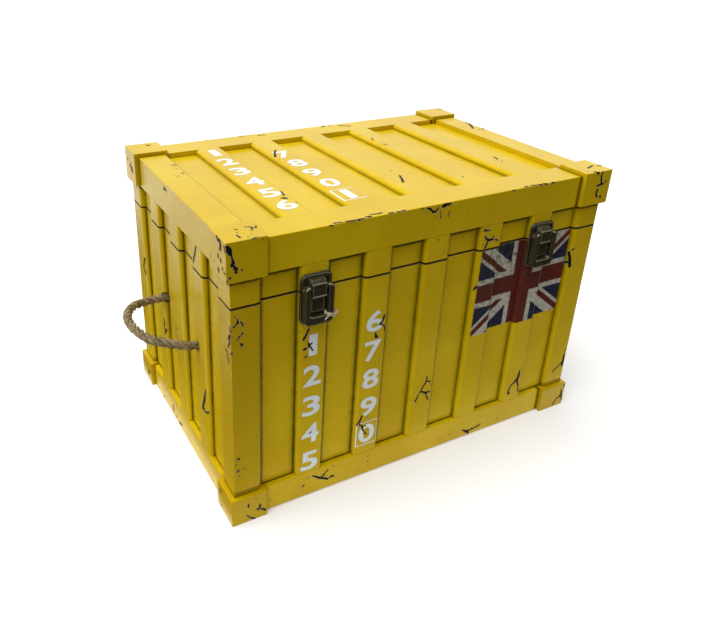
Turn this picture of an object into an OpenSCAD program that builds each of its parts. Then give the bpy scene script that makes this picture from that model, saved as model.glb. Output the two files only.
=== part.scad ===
// Storage chest built like a small freight container: boards with ribs, rails, posts and corner blocks
// glued on, a hinged lid, two draw latches and a rope handle in each end.
// The origin is on the floor under the middle of the chest. The front faces -Y.

/* [Chest] */
// Width over the corner blocks
chest_w = 480; // [440:1:560]
// Depth over the corner blocks
chest_d = 320; // [290:1:400]
// Height to the tops of the upper corner blocks
chest_h = 330; // [310:1:400]
// Height of the ribs' ends on the lid, from the parting line up to the lid's rails
lid_skirt_h = 30; // [28:1:60]
// Open gap at the parting line
seam_gap = 0.8; // [0.6:0.1:1]

/* [Boards] */
// Thickness of the four walls
wall_t = 9; // [7:0.5:12]
// Thickness of the floor board
floor_t = 9; // [6:0.5:12]
// Thickness of the lid board
lid_t = 9; // [6:0.5:12]

/* [Strips] */
// Thickness of the ribs, rails and posts
strip_t = 6; // [4:0.5:8]
// Rounding of the chest's outer edges
strip_round = 1; // [0.5:0.25:2.5]
// Square part of a rib's side below its rounded edge
rib_side_flat = 1; // [0.5:0.25:3]
// Width of one rib
rib_w = 33; // [26:1:38]
// Face width of the corner posts
post_w = 32; // [26:1:38]
// Ribs on the front and on the back
long_ribs = 5; // [3:2:7]
// Ribs on each end
end_ribs = 3; // [2:1:4]
// Height of the rails round the lid
lid_rail_h = 36; // [28:1:40]
// Width of the front and back rails on top of the lid
lid_rail_top_w = 36; // [30:1:44]
// Width of the end rails on top of the lid
lid_end_rail_top_w = 32; // [26:1:40]

/* [Corner blocks] */
// Length of a block along the front
block_x = 41; // [38:1:48]
// Length of a block along the end
block_y = 40; // [38:1:48]
// Height of a foot block
foot_h = 34; // [28:1:40]
// How far a block stands proud of the rails sideways
block_proud = 5; // [3:0.5:8]
// How far an upper block stands above the rails
block_rise = 4; // [2:0.5:6]
// How far a foot block reaches below the rails
foot_drop = 1.5; // [1:0.5:4]

/* [Latches] */
// Width of the latch plates
latch_w = 35; // [30:1:38]
// Lowest edge of the latch below the parting line
latch_below = 34; // [30:1:40]
// Top edge of the latch above the parting line
latch_above = 20; // [16:1:24]
// Thickness of the latch plates
latch_plate_t = 1.4; // [1:0.1:1.7]
// Rounding of the plates' corners
latch_round = 7; // [4:0.5:8]
// How far the latch stands out from the ribs
latch_reach = 10; // [9.5:0.25:12]
// Width of the lever
lever_w = 32; // [28:1:34]
// Width of one limb of the lever
lever_limb_w = 6; // [5:0.5:7]
// Height of the bar that joins the limbs
lever_bar_h = 9; // [6:0.5:11]
// Depth of the lever's limbs
lever_depth = 5.4; // [5:0.1:6]
// Wall of the pressed lever
lever_wall = 1.4; // [1:0.1:1.6]
// Height of the lever's pivot above the parting line
lever_pivot_up = 6; // [5:0.5:7]
// Drop of the tongue's pin below the lever's pivot
tongue_pin_drop = 8; // [7.5:0.25:9]
// Radius of the lever's rounded upper ends
lever_end_r = 4; // [3.5:0.1:4.2]
// Radius of the lever's pivot pins
lever_pin_r = 1.2; // [0.8:0.1:1.5]
// Height of the tongue's tip above the parting line
tongue_above = 12; // [11:0.5:14]
// Thickness of the tongue
tongue_t = 1.4; // [1:0.1:1.6]
// Radius of the tongue's pin
tongue_pin_r = 1; // [0.7:0.1:1.2]
// Height of the catch behind the tongue
catch_h = 12; // [9:0.5:12.5]
// Diameter of the twine tied to the left lever
twine_d = 1.8; // [1.2:0.1:2]

/* [Hinges] */
// Width of a hinge
hinge_w = 30; // [24:1:32]
// Height of one hinge leaf
hinge_leaf_h = 24; // [18:1:28]
// Thickness of a hinge leaf
hinge_leaf_t = 1.4; // [1:0.1:1.8]
// Radius of the hinge barrel
hinge_barrel_r = 4; // [3:0.25:4.25]
// Radius of the hinge pin
hinge_pin_r = 1.5; // [1:0.1:2]

/* [Screws] */
// Radius of a screw head
screw_head_r = 2.6; // [2:0.1:3]
// Height of a screw head
screw_head_h = 0.9; // [0.6:0.1:1.2]
// Radius of a screw shank
screw_shank_r = 1.3; // [1:0.1:1.6]

/* [Rope handles] */
// Diameter of the rope
rope_d = 10; // [8:0.5:11]
// Height of the rope's holes above the floor
rope_hole_z = 169; // [130:1:200]
// Wood left between the near hole and the edge of its rib
rope_hole_wall = 1.65; // [1:0.05:5]
// How far the middle of the far hole lies past the edge of its rib
rope_hole_bite = 1.75; // [0:0.05:2.5]
// Radius of the knot behind each hole
knot_r = 10; // [8:0.5:12]

/* [Fits] */
// Gap round the rope in its hole
rope_gap = 0.6; // [0.4:0.1:1]
// Gap between pieces that rest near each other
seat_gap = 0.3; // [0.2:0.05:0.4]
// Radial gap of a pin that turns
run_gap = 0.05; // [0.03:0.01:0.08]
// Radial gap of a pin that is held
held_gap = 0.02; // [0.01:0.01:0.03]

/* [Hidden] */

paint = [0.80, 0.66, 0.06];
paint_deep = [0.70, 0.55, 0.04];
bronze = [0.20, 0.18, 0.10];
jute = [0.66, 0.55, 0.38];
steel = [0.45, 0.42, 0.34];

// Half sizes of the plane of the ribs, of the boards' outsides and of the room inside
face_x = chest_w / 2 - block_proud;
face_y = chest_d / 2 - block_proud;
board_x = face_x - strip_t;
board_y = face_y - strip_t;
room_x = board_x - wall_t;
room_y = board_y - wall_t;

// Heights
rail_top = chest_h - block_rise;
board_top = rail_top - strip_t;
room_top = board_top - lid_t;
rail_low = rail_top - lid_rail_h;
seam_h = rail_low - lid_skirt_h;
lid_low = seam_h + seam_gap;

// Rounding of the long edges of ribs, and of posts where they face a recess
rib_round = strip_t - rib_side_flat;

// Where the rails meet the corner blocks
rail_end_x = chest_w / 2 - block_x;
rail_end_y = chest_d / 2 - block_y;

// Latches and hinges sit on the first and last ribs
long_recess = (2 * face_x - 2 * post_w - long_ribs * rib_w) / (long_ribs + 1);
outer_rib_x = face_x - post_w - long_recess - rib_w / 2;

// Latch
lever_pivot_z = seam_h + lever_pivot_up;
lever_pivot_out = latch_reach - lever_end_r;
lever_low = seam_h - latch_below + 2;
lever_window = lever_w / 2 - lever_limb_w;
ear_t = 1.4;
ear_x = lever_window - seat_gap - ear_t;
ear_r = lever_end_r - 1;
ear_low = lever_pivot_z - 1.75 * tongue_pin_drop;
tongue_pin_z = lever_pivot_z - tongue_pin_drop;
tongue_pin_out = lever_pivot_out + 1.4;
tongue_knuckle_r = tongue_pin_r + 1.2;
ear_front = tongue_pin_out - tongue_knuckle_r;
tongue_w = 2 * (ear_x - 0.7);
tongue_front = latch_reach - 0.6;
tongue_low = lever_low + lever_bar_h + 3;
catch_w = tongue_w - 0.8;
catch_front = tongue_front - tongue_t - 0.5;
catch_low = lid_low + 2.2;
latch_screw_x = latch_w / 2 - 5.5;
latch_screw_z = seam_h + latch_above - 5.5;
tail_screw_x = 5;
tail_screw_z = (seam_h + lever_low) / 2;

// Twine: a ring round the right limb of the left lever, just above its bar
twine_r = twine_d / 2;
twine_sides = 8;
twine_z = lever_low + lever_bar_h + 1.5;
twine_back = (latch_plate_t + latch_reach - lever_depth) / 2;
twine_front = latch_reach + twine_r + 0.1;
lever_side_x = lever_w / 2;
twine_route = [[lever_window - 1.6, latch_reach - 3, 0], [lever_window - 1.5, latch_reach - 5, 0],
    [lever_window, twine_back, -0.1], [lever_side_x - 3, twine_back, -0.3],
    [lever_side_x + 0.5, twine_back + 0.2, -0.6], [lever_side_x + 3.3, twine_back + 1.6, -1],
    [lever_side_x + 5, twine_back + 4, -1.5], [lever_side_x + 4.8, twine_front - 1.7, -2],
    [lever_side_x + 2.6, twine_front - 0.3, -2.3], [lever_side_x - 0.6, twine_front, -2],
    [lever_side_x - 3.6, twine_front, -1.3], [lever_window - 0.1, twine_front, -0.5],
    [lever_window - 1.5, twine_front - 1, 0]];

// Hinge
hinge_axis_out = twine_front + twine_r - hinge_barrel_r;
hinge_axis_z = seam_h + seam_gap / 2;
hinge_web_t = 2;
knuckle_w = hinge_w / 3;
knuckle_gap = 0.2;
leaf_part = 0.5;
hinge_screw_x = hinge_w / 2 - 5;
hinge_screw_low = 8;
hinge_screw_high = hinge_leaf_h - 5;

// Rope: the handle turns about a line just outside the ribs
rope_r = rope_d / 2;
rope_hole_r = rope_r + rope_gap;
rope_turn = rope_r + 0.5;
end_recess = (2 * face_y - 2 * post_w - end_ribs * rib_w) / (end_ribs + 1);
rib_edge_y = face_y - post_w - end_recess - rib_w;
rope_near_y = -rib_edge_y - rope_hole_r - rope_hole_wall;
rope_far_y = rib_edge_y + rope_hole_bite;
rope_mid_y = (rope_near_y + rope_far_y) / 2;
rope_half = (rope_far_y - rope_near_y) / 2;
rope_sides = 10;

// Route of a handle in hundredths of half the distance between its holes: distance out from the ribs,
// place along the end, height over the holes
handle_route = [[10, -100, 0], [20, -98, 2], [32, -92, 4], [46, -84, 5], [61, -75, 7], [75, -64, 7],
    [87, -50, 8], [95, -32, 9], [100, -11, 9], [102, 11, 9], [100, 32, 9], [95, 54, 9], [84, 72, 8],
    [70, 86, 7], [54, 94, 5], [38, 98, 4], [22, 100, 2], [10, 100, 0]];

// A box between two corners
module box(low, high) {
    translate(low) cube(high - low);
}

// Section of a strip: width along u, thickness along v, its outer edges rounded, a square one having none
module strip_section(w, t, round_a, round_b) {
    intersection() {
        square([w, t]);
        union() {
            square([w / 2, t - round_a]);
            translate([w / 2, 0]) square([w / 2, t - round_b]);
            translate([round_a, 0]) square([w - round_a - round_b, t]);
            if (round_a > 0) translate([round_a, t - round_a]) circle(round_a, $fn = 48);
            if (round_b > 0) translate([w - round_b, t - round_b]) circle(round_b, $fn = 48);
        }
    }
}

// An upright strip on a wall whose face is at the given distance from the middle
module upright(u, w, dist, low, high, round_a, round_b) {
    translate([u, strip_t - dist, low])
        mirror([0, 1, 0]) linear_extrude(high - low) strip_section(w, strip_t, round_a, round_b);
}

// A row of ribs spread evenly between the posts
module rib_row(count, half_len, dist, low, high) {
    recess = (2 * half_len - 2 * post_w - count * rib_w) / (count + 1);
    for (i = [0 : count - 1])
        upright(-half_len + post_w + recess + i * (rib_w + recess), rib_w, dist, low, high,
            rib_round, rib_round);
}

// The walls are drawn as the front and turned to their side
module to_side(side) {
    rotate([0, 0, side == "front" ? 0 : side == "right" ? 90 : side == "back" ? 180 : -90]) children();
}

module side_ribs(side, low, high) {
    long_side = side == "front" || side == "back";
    to_side(side)
        rib_row(long_side ? long_ribs : end_ribs, long_side ? face_x : face_y,
            long_side ? face_y : face_x, low, high);
}

// Corners are drawn at the front left and mirrored to the others
module to_corner(right, back) {
    mirror([right ? 1 : 0, 0, 0]) mirror([0, back ? 1 : 0, 0]) children();
}

module post(low, high) {
    upright(-face_x, post_w, face_y, low, high, strip_round, rib_round);
    mirror([1, -1, 0]) upright(-face_y, post_w, face_x, low, high, strip_round, rib_round);
}

module foot_block() {
    difference() {
        box([-chest_w / 2, -chest_d / 2, 0], [-rail_end_x, -rail_end_y, foot_h]);
        box([-board_x, -board_y, foot_drop], [0, 0, foot_h + 1]);
    }
}

module cap_block() {
    difference() {
        box([-chest_w / 2, -chest_d / 2, rail_low], [-rail_end_x, -rail_end_y, chest_h]);
        box([-board_x, -board_y, rail_low - 1], [0, 0, board_top]);
    }
}

module bottom_rail(side) {
    long_side = side == "front" || side == "back";
    half_len = long_side ? rail_end_x : rail_end_y;
    dist = long_side ? face_y : face_x;
    to_side(side)
        translate([-half_len, strip_t - dist, foot_drop])
            rotate([90, 0, 90]) linear_extrude(2 * half_len)
                rotate(90) strip_section(foot_h - foot_drop, strip_t, strip_round, 0);
}

module lid_rail(side) {
    long_side = side == "front" || side == "back";
    half_len = long_side ? rail_end_x : rail_end_y;
    dist = long_side ? face_y : face_x;
    to_side(side)
        translate([-half_len, 0, 0]) rotate([90, 0, 90]) linear_extrude(2 * half_len) {
            translate([strip_t - dist, rail_low])
                rotate(90) strip_section(lid_rail_h, strip_t, 0, strip_round);
            translate([-dist, board_top])
                strip_section(long_side ? lid_rail_top_w : lid_end_rail_top_w, strip_t, strip_round, 0);
        }
}

// The two holes of one handle, along X
module rope_holes(side) {
    for (y = [rope_near_y, rope_far_y])
        translate([side * (face_x + room_x) / 2, y, rope_hole_z])
            rotate([0, 90, 0]) cylinder(h = 4 * (face_x - room_x), r = rope_hole_r, center = true, $fn = 48);
}

module wall_long(side, low, high) {
    to_side(side) box([-board_x, -board_y, low], [board_x, -room_y, high]);
}

module wall_end(side, low, high) {
    to_side(side) box([-room_y, -board_x, low], [room_y, -room_x, high]);
}

// Base
module floor_panel() {
    color(paint_deep) box([-room_x, -room_y, foot_drop], [room_x, room_y, foot_drop + floor_t]);
}
module front_panel() {
    color(paint_deep) wall_long("front", foot_drop, seam_h);
}
module back_panel() {
    color(paint_deep) wall_long("back", foot_drop, seam_h);
}
module left_panel() {
    color(paint_deep) difference() {
        wall_end("left", foot_drop, seam_h);
        rope_holes(-1);
    }
}
module right_panel() {
    color(paint_deep) difference() {
        wall_end("right", foot_drop, seam_h);
        rope_holes(1);
    }
}
module front_ribs() {
    color(paint) side_ribs("front", foot_h, seam_h);
}
module back_ribs() {
    color(paint) side_ribs("back", foot_h, seam_h);
}
module left_ribs() {
    color(paint) difference() {
        side_ribs("left", foot_h, seam_h);
        rope_holes(-1);
    }
}
module right_ribs() {
    color(paint) difference() {
        side_ribs("right", foot_h, seam_h);
        rope_holes(1);
    }
}
module corner_post(right, back) {
    color(paint) to_corner(right, back) post(foot_h, seam_h);
}
module corner_foot(right, back) {
    color(paint) to_corner(right, back) foot_block();
}
module side_bottom_rail(side) {
    color(paint) bottom_rail(side);
}

// Lid
module lid_panel() {
    color(paint_deep) box([-board_x, -board_y, room_top], [board_x, board_y, board_top]);
}
module lid_long_panel(side) {
    color(paint_deep) wall_long(side, lid_low, room_top);
}
module lid_end_panel(side) {
    color(paint_deep) wall_end(side, lid_low, room_top);
}
module lid_ribs() {
    color(paint)
        for (i = [0 : long_ribs - 1])
            translate([-face_x + post_w + long_recess + i * (rib_w + long_recess),
                face_y - lid_rail_top_w, board_top])
                rotate([90, 0, 0]) linear_extrude(2 * (face_y - lid_rail_top_w))
                    strip_section(rib_w, strip_t, rib_round, rib_round);
}
module lid_side_ribs(side) {
    color(paint) side_ribs(side, lid_low, rail_low);
}
module lid_post_ends() {
    color(paint)
        for (right = [false, true], back = [false, true])
            to_corner(right, back) post(lid_low, rail_low);
}
module side_lid_rail(side) {
    color(paint) lid_rail(side);
}
module corner_cap(right, back) {
    color(paint) to_corner(right, back) cap_block();
}

// Latch pieces are drawn on the middle of their rib: X across, Y negative outwards, true height
module at_latch(side) {
    translate([side * outer_rib_x, -face_y, 0]) children();
}

// A plate between two heights, rounded at its lower or upper corners, standing out from near to far
module plate(w, low, high, r, round_low, near, far) {
    flat = round_low ? [low + r, high] : [low, high - r];
    translate([0, -near, 0]) rotate([90, 0, 0]) linear_extrude(far - near) {
        translate([-w / 2, flat[0]]) square([w, flat[1] - flat[0]]);
        translate([r - w / 2, low]) square([w - 2 * r, high - low]);
        for (u = [r - w / 2, w / 2 - r])
            translate([u, round_low ? low + r : high - r]) circle(r, $fn = 48);
    }
}

module cross_pin(x0, x1, out, z, r) {
    translate([x0, -out, z]) rotate([0, 90, 0]) cylinder(h = x1 - x0, r = r, $fn = 40);
}

module screw(x, z) {
    translate([x, -latch_plate_t, z]) rotate([90, 0, 0])
        cylinder(h = screw_head_h, r = screw_head_r, $fn = 40);
    translate([x, 0, z]) rotate([90, 0, 0])
        cylinder(h = latch_plate_t, r = screw_shank_r, $fn = 32);
}

module screw_hole(x, z) {
    translate([x, 1, z]) rotate([90, 0, 0])
        cylinder(h = latch_plate_t + 2, r = screw_shank_r + run_gap, $fn = 32);
}

// Side view of an ear: up behind the tongue's pin to a round end at the pivot
module ear_side() {
    translate([-lever_pivot_out, lever_pivot_z]) circle(ear_r, $fn = 48);
    translate([-ear_front, ear_low]) square([ear_front, seam_h - 1 - ear_low]);
    translate([-ear_front, ear_low]) square([ear_front - lever_pivot_out + ear_r, lever_pivot_z - ear_low]);
}

module latch_base(side) {
    color(bronze) at_latch(side) difference() {
        union() {
            plate(latch_w, seam_h - latch_below, seam_h - 0.4, latch_round, true, 0, latch_plate_t);
            for (s = [-1, 1])
                translate([s > 0 ? ear_x : -ear_x - ear_t, 0, 0])
                    rotate([90, 0, 90]) linear_extrude(ear_t) ear_side();
        }
        for (s = [-1, 1])
            cross_pin(s > 0 ? ear_x - 1 : -ear_x - ear_t - 1, s > 0 ? ear_x + ear_t + 1 : 1 - ear_x,
                lever_pivot_out, lever_pivot_z, lever_pin_r + held_gap);
        for (s = [-1, 1])
            screw_hole(s * tail_screw_x, tail_screw_z);
    }
}

module latch_pins() {
    color(steel)
        for (side = [-1, 1], s = [-1, 1])
            at_latch(side)
                cross_pin(s > 0 ? ear_x - 0.2 : -lever_w / 2, s > 0 ? lever_w / 2 : 0.2 - ear_x,
                    lever_pivot_out, lever_pivot_z, lever_pin_r);
}

module latch_catch(side) {
    color(bronze) at_latch(side) difference() {
        union() {
            plate(latch_w, lid_low + 0.4, seam_h + latch_above, latch_round, false, 0, latch_plate_t);
            translate([-catch_w / 2, 0, 0]) rotate([90, 0, 90]) linear_extrude(catch_w)
                polygon([[0, catch_low], [-catch_front, catch_low], [-catch_front, catch_low + catch_h - 2],
                    [2 - catch_front, catch_low + catch_h], [0, catch_low + catch_h]]);
        }
        for (s = [-1, 1])
            screw_hole(s * latch_screw_x, latch_screw_z);
    }
}

// Face of the lever: two limbs and a bar round a window that is open at the top
module lever_face(inset) {
    r = latch_round - 1 - inset;
    w = lever_w / 2 - inset;
    low = lever_low + inset;
    high = lever_pivot_z + lever_end_r - inset;
    top_r = lever_limb_w - 1.5 - inset;
    difference() {
        union() {
            translate([-w, low + r]) square([2 * w, high - top_r - low - r]);
            translate([r - w, low]) square([2 * (w - r), high - low]);
            for (s = [-1, 1]) {
                translate([s * (w - r), low + r]) circle(r, $fn = 48);
                translate([s * (w - top_r), high - top_r]) circle(top_r, $fn = 48);
            }
        }
        translate([-lever_window - inset, lever_low + lever_bar_h - inset])
            square([2 * (lever_window + inset), high]);
    }
}

// Side view of the lever, rounded about its pivot
module lever_side() {
    translate([-lever_pivot_out, lever_pivot_z]) circle(lever_end_r, $fn = 64);
    translate([-latch_reach, lever_low - 1]) square([lever_depth, lever_pivot_z - lever_low + 1]);
}

module latch_lever(side) {
    color(bronze) at_latch(side) difference() {
        intersection() {
            rotate([90, 0, 0]) linear_extrude(latch_reach) lever_face(0);
            translate([-lever_w, 0, 0]) rotate([90, 0, 90]) linear_extrude(2 * lever_w) lever_side();
        }
        translate([0, 1, 0]) rotate([90, 0, 0])
            linear_extrude(latch_reach - lever_wall + 1) lever_face(lever_wall);
        for (s = [-1, 1]) {
            cross_pin(s > 0 ? lever_window - 1 : -lever_w / 2 - 1, s > 0 ? lever_w / 2 + 1 : 1 - lever_window,
                lever_pivot_out, lever_pivot_z, lever_pin_r + run_gap);
            cross_pin(s > 0 ? lever_window - 1 : -lever_window - lever_wall - 1,
                s > 0 ? lever_window + lever_wall + 1 : 1 - lever_window,
                tongue_pin_out, tongue_pin_z, tongue_pin_r + held_gap);
        }
    }
    color(steel) at_latch(side)
        cross_pin(-lever_window - lever_wall, lever_window + lever_wall,
            tongue_pin_out, tongue_pin_z, tongue_pin_r);
}

// The tongue steps back below its pin
module latch_tongue(side) {
    color(bronze) at_latch(side) difference() {
        union() {
            translate([-tongue_w / 2, -tongue_front, tongue_pin_z])
                cube([tongue_w, tongue_t, seam_h + tongue_above - tongue_pin_z]);
            cross_pin(-tongue_w / 2, tongue_w / 2, tongue_pin_out, tongue_pin_z, tongue_knuckle_r);
            translate([-tongue_w / 2, -ear_front - 1, tongue_low])
                cube([tongue_w, tongue_t, tongue_pin_z - tongue_low]);
        }
        cross_pin(-tongue_w, tongue_w, tongue_pin_out, tongue_pin_z, tongue_pin_r + run_gap);
    }
}

// Hinge pieces are drawn on the middle of their rib: X across, Y outwards, true height
module at_hinge(side) {
    translate([side * outer_rib_x, face_y, 0]) children();
}

module barrel(x0, x1, r) {
    translate([x0, hinge_axis_out, hinge_axis_z]) rotate([0, 90, 0])
        cylinder(h = x1 - x0, r = r, $fn = 48);
}

module leaf_screw_holes(low) {
    for (x = [-hinge_screw_x, hinge_screw_x], z = [hinge_screw_low, hinge_screw_high])
        translate([x, -1, low + z]) rotate([-90, 0, 0])
            cylinder(h = hinge_leaf_t + 2, r = screw_shank_r + run_gap, $fn = 32);
}

module hinge_base_leaf(side) {
    web_low = hinge_axis_z - hinge_barrel_r;
    color(bronze) at_hinge(side) difference() {
        union() {
            box([-hinge_w / 2, 0, seam_h - hinge_leaf_h],
                [hinge_w / 2, hinge_leaf_t, hinge_axis_z - leaf_part]);
            for (x = [-hinge_w / 2, hinge_w / 2 - knuckle_w + knuckle_gap]) {
                barrel(x, x + knuckle_w - knuckle_gap, hinge_barrel_r);
                box([x, 0, web_low], [x + knuckle_w - knuckle_gap, hinge_axis_out, web_low + hinge_web_t]);
            }
        }
        barrel(-hinge_w, hinge_w, hinge_pin_r + held_gap);
        translate([0, 0, seam_h]) mirror([0, 0, 1]) leaf_screw_holes(0);
    }
}

module hinge_lid_leaf(side) {
    web_high = hinge_axis_z + hinge_barrel_r;
    half = knuckle_w / 2 - knuckle_gap;
    color(bronze) at_hinge(side) difference() {
        union() {
            box([-hinge_w / 2, 0, hinge_axis_z + leaf_part],
                [hinge_w / 2, hinge_leaf_t, lid_low + hinge_leaf_h]);
            barrel(-half, half, hinge_barrel_r);
            box([-half, 0, web_high - hinge_web_t], [half, hinge_axis_out, web_high]);
        }
        barrel(-hinge_w, hinge_w, hinge_pin_r + run_gap);
        leaf_screw_holes(lid_low);
    }
}

module hinge_pins() {
    color(steel)
        for (side = [-1, 1])
            at_hinge(side) {
                barrel(-hinge_w / 2 - 0.6, hinge_w / 2 + 0.6, hinge_pin_r);
                barrel(-hinge_w / 2 - 1.6, -hinge_w / 2 - 0.6, hinge_pin_r + 0.9);
                barrel(hinge_w / 2 + 0.6, hinge_w / 2 + 1.6, hinge_pin_r + 0.9);
            }
}

// The screws of one hinge leaf
module leaf_screws(side, low, up) {
    at_hinge(side)
        for (x = [-hinge_screw_x, hinge_screw_x], z = [hinge_screw_low, hinge_screw_high])
            translate([x, 0, low + up * z]) rotate([-90, 0, 0]) {
                cylinder(h = hinge_leaf_t, r = screw_shank_r, $fn = 32);
                translate([0, 0, hinge_leaf_t]) cylinder(h = screw_head_h, r = screw_head_r, $fn = 40);
            }
}

module base_screws() {
    color(steel)
        for (side = [-1, 1]) {
            leaf_screws(side, seam_h, -1);
            at_latch(side)
                for (s = [-1, 1])
                    screw(s * tail_screw_x, tail_screw_z);
        }
}

module lid_screws() {
    color(steel)
        for (side = [-1, 1]) {
            leaf_screws(side, lid_low, 1);
            at_latch(side)
                for (s = [-1, 1])
                    screw(s * latch_screw_x, latch_screw_z);
        }
}

// The rope's fixed ends: from the knot inside, through the wall, to just outside the ribs
module rope_ends() {
    color(jute)
        for (side = [-1, 1], y = [rope_near_y, rope_far_y])
            translate([side * (room_x - knot_r - seat_gap), y, rope_hole_z])
                rotate([0, side * 90, 0]) {
                    sphere(knot_r, $fn = 32);
                    cylinder(h = face_x - room_x + knot_r + seat_gap + 0.2, r = rope_r, $fn = 40);
                }
}

function unit(v) = v / norm(v);

// Place of a point of the route on the left end
function on_end(p) =
    [-face_x - max(rope_half * p[0] / 100, rope_turn), rope_mid_y + rope_half * p[1] / 100,
        rope_hole_z + rope_half * p[2] / 100];

// Rounded tip: rings of a ball that shrink towards the wall, each as [distance out, radius]
function tip_rings() = [for (a = [75, 50, 25]) [rope_turn - rope_r * sin(a), rope_r * cos(a)]];

function ring_at(c, dir, r, sides) =
    let (across = unit(cross(dir, [0, 0, 1])), up = cross(across, dir))
    [for (k = [0 : sides - 1])
        c + r * cos(360 * k / sides) * across + r * sin(360 * k / sides) * up];

// Faces between rings: as many joints as asked for, the last one back to the first ring when closed
function tube_faces(rings, sides, joints) =
    [for (i = [0 : joints - 1], k = [0 : sides - 1])
        let (a = i * sides, b = (i + 1) % rings * sides, l = (k + 1) % sides)
        for (f = [[a + k, a + l, b + l], [a + k, b + l, b + k]]) f];

// The free part of a handle: a round tube swept along its route, with rounded tips at both holes
module handle_rope() {
    route = [for (p = handle_route) on_end(p)];
    n = len(route);
    first = route[0];
    last = route[n - 1];
    tips = tip_rings();
    path = [for (t = tips) [-face_x - t[0], first[1], first[2]],
        for (p = route) p,
        for (i = [len(tips) - 1 : -1 : 0]) [-face_x - tips[i][0], last[1], last[2]]];
    radii = [for (t = tips) t[1], for (p = route) rope_r, for (i = [len(tips) - 1 : -1 : 0]) tips[i][1]];
    m = len(path);
    points = [for (i = [0 : m - 1])
        for (p = ring_at(path[i],
            i <= len(tips) ? [-1, 0, 0] : i >= m - 1 - len(tips) ? [1, 0, 0]
                : unit(path[i + 1] - path[i - 1]),
            radii[i], rope_sides)) p];
    first_cap = [for (k = [1 : rope_sides - 2]) [0, k + 1, k]];
    last_cap = [for (k = [1 : rope_sides - 2])
        [(m - 1) * rope_sides, (m - 1) * rope_sides + k, (m - 1) * rope_sides + k + 1]];
    polyhedron(points, concat(tube_faces(m, rope_sides, m - 1), first_cap, last_cap), convexity = 4);
}

// Twine tied in a ring round one limb of the left lever
module latch_twine() {
    m = len(twine_route);
    points = [for (i = [0 : m - 1])
        let (p = twine_route[i], d = twine_route[(i + 1) % m] - twine_route[(i + m - 1) % m])
        for (q = ring_at([p[0], -p[1], twine_z + p[2]], unit([d[0], -d[1], d[2]]), twine_r, twine_sides)) q];
    color(jute) at_latch(-1) polyhedron(points, tube_faces(m, twine_sides, m), convexity = 4);
}

module left_handle_rope() {
    color(jute) handle_rope();
}
module right_handle_rope() {
    color(jute) mirror([1, 0, 0]) handle_rope();
}

floor_panel();
front_panel();
back_panel();
left_panel();
right_panel();
front_ribs();
back_ribs();
left_ribs();
right_ribs();
corner_post(false, false);  // front_left_post
corner_post(true, false);  // front_right_post
corner_post(false, true);  // back_left_post
corner_post(true, true);  // back_right_post
side_bottom_rail("front");  // front_bottom_rail
side_bottom_rail("back");  // back_bottom_rail
side_bottom_rail("left");  // left_bottom_rail
side_bottom_rail("right");  // right_bottom_rail
corner_foot(false, false);  // front_left_foot
corner_foot(true, false);  // front_right_foot
corner_foot(false, true);  // back_left_foot
corner_foot(true, true);  // back_right_foot
rope_ends();
latch_base(-1);  // left_latch_base
latch_base(1);  // right_latch_base
latch_pins();
hinge_base_leaf(-1);  // left_hinge_base_leaf
hinge_base_leaf(1);  // right_hinge_base_leaf
hinge_pins();
base_screws();
lid_panel();
lid_long_panel("front");  // lid_front_panel
lid_long_panel("back");  // lid_back_panel
lid_end_panel("left");  // lid_left_panel
lid_end_panel("right");  // lid_right_panel
lid_ribs();
lid_side_ribs("front");  // lid_front_ribs
lid_side_ribs("back");  // lid_back_ribs
lid_side_ribs("left");  // lid_left_ribs
lid_side_ribs("right");  // lid_right_ribs
lid_post_ends();
side_lid_rail("front");  // lid_front_rail
side_lid_rail("back");  // lid_back_rail
side_lid_rail("left");  // lid_left_rail
side_lid_rail("right");  // lid_right_rail
corner_cap(false, false);  // front_left_cap
corner_cap(true, false);  // front_right_cap
corner_cap(false, true);  // back_left_cap
corner_cap(true, true);  // back_right_cap
latch_catch(-1);  // left_latch_catch
latch_catch(1);  // right_latch_catch
hinge_lid_leaf(-1);  // left_hinge_lid_leaf
hinge_lid_leaf(1);  // right_hinge_lid_leaf
lid_screws();
latch_lever(-1);  // left_latch_lever
latch_lever(1);  // right_latch_lever
latch_tongue(-1);  // left_latch_tongue
latch_tongue(1);  // right_latch_tongue
latch_twine();
left_handle_rope();
right_handle_rope();
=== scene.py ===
import math
import random

import bmesh
import bpy
from mathutils import Matrix, Vector, noise
from mathutils.bvhtree import BVHTree


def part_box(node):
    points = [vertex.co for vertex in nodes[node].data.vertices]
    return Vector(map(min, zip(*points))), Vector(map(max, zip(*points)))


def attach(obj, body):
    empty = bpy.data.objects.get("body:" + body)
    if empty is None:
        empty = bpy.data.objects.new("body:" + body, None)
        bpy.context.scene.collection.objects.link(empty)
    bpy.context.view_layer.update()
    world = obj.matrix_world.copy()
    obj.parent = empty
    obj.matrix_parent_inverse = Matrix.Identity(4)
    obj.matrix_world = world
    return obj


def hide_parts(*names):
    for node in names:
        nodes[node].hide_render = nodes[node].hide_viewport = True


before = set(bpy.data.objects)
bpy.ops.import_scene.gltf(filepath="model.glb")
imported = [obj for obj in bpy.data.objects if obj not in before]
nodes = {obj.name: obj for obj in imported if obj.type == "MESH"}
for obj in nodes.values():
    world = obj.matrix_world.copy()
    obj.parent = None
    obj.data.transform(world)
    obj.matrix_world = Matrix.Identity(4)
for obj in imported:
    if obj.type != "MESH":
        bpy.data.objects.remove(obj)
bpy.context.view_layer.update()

mm = 0.001

# the view that the photograph was taken from
viewpoint = {
    "place": (-0.4452, -0.6684, 0.5805),
    "right": (0.8879, -0.4598, 0.0164),
    "forward": (0.4226, 0.8010, -0.4239),
    "lens": 35.47,
    "shift": (0.0913, -0.0915),
}


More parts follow.
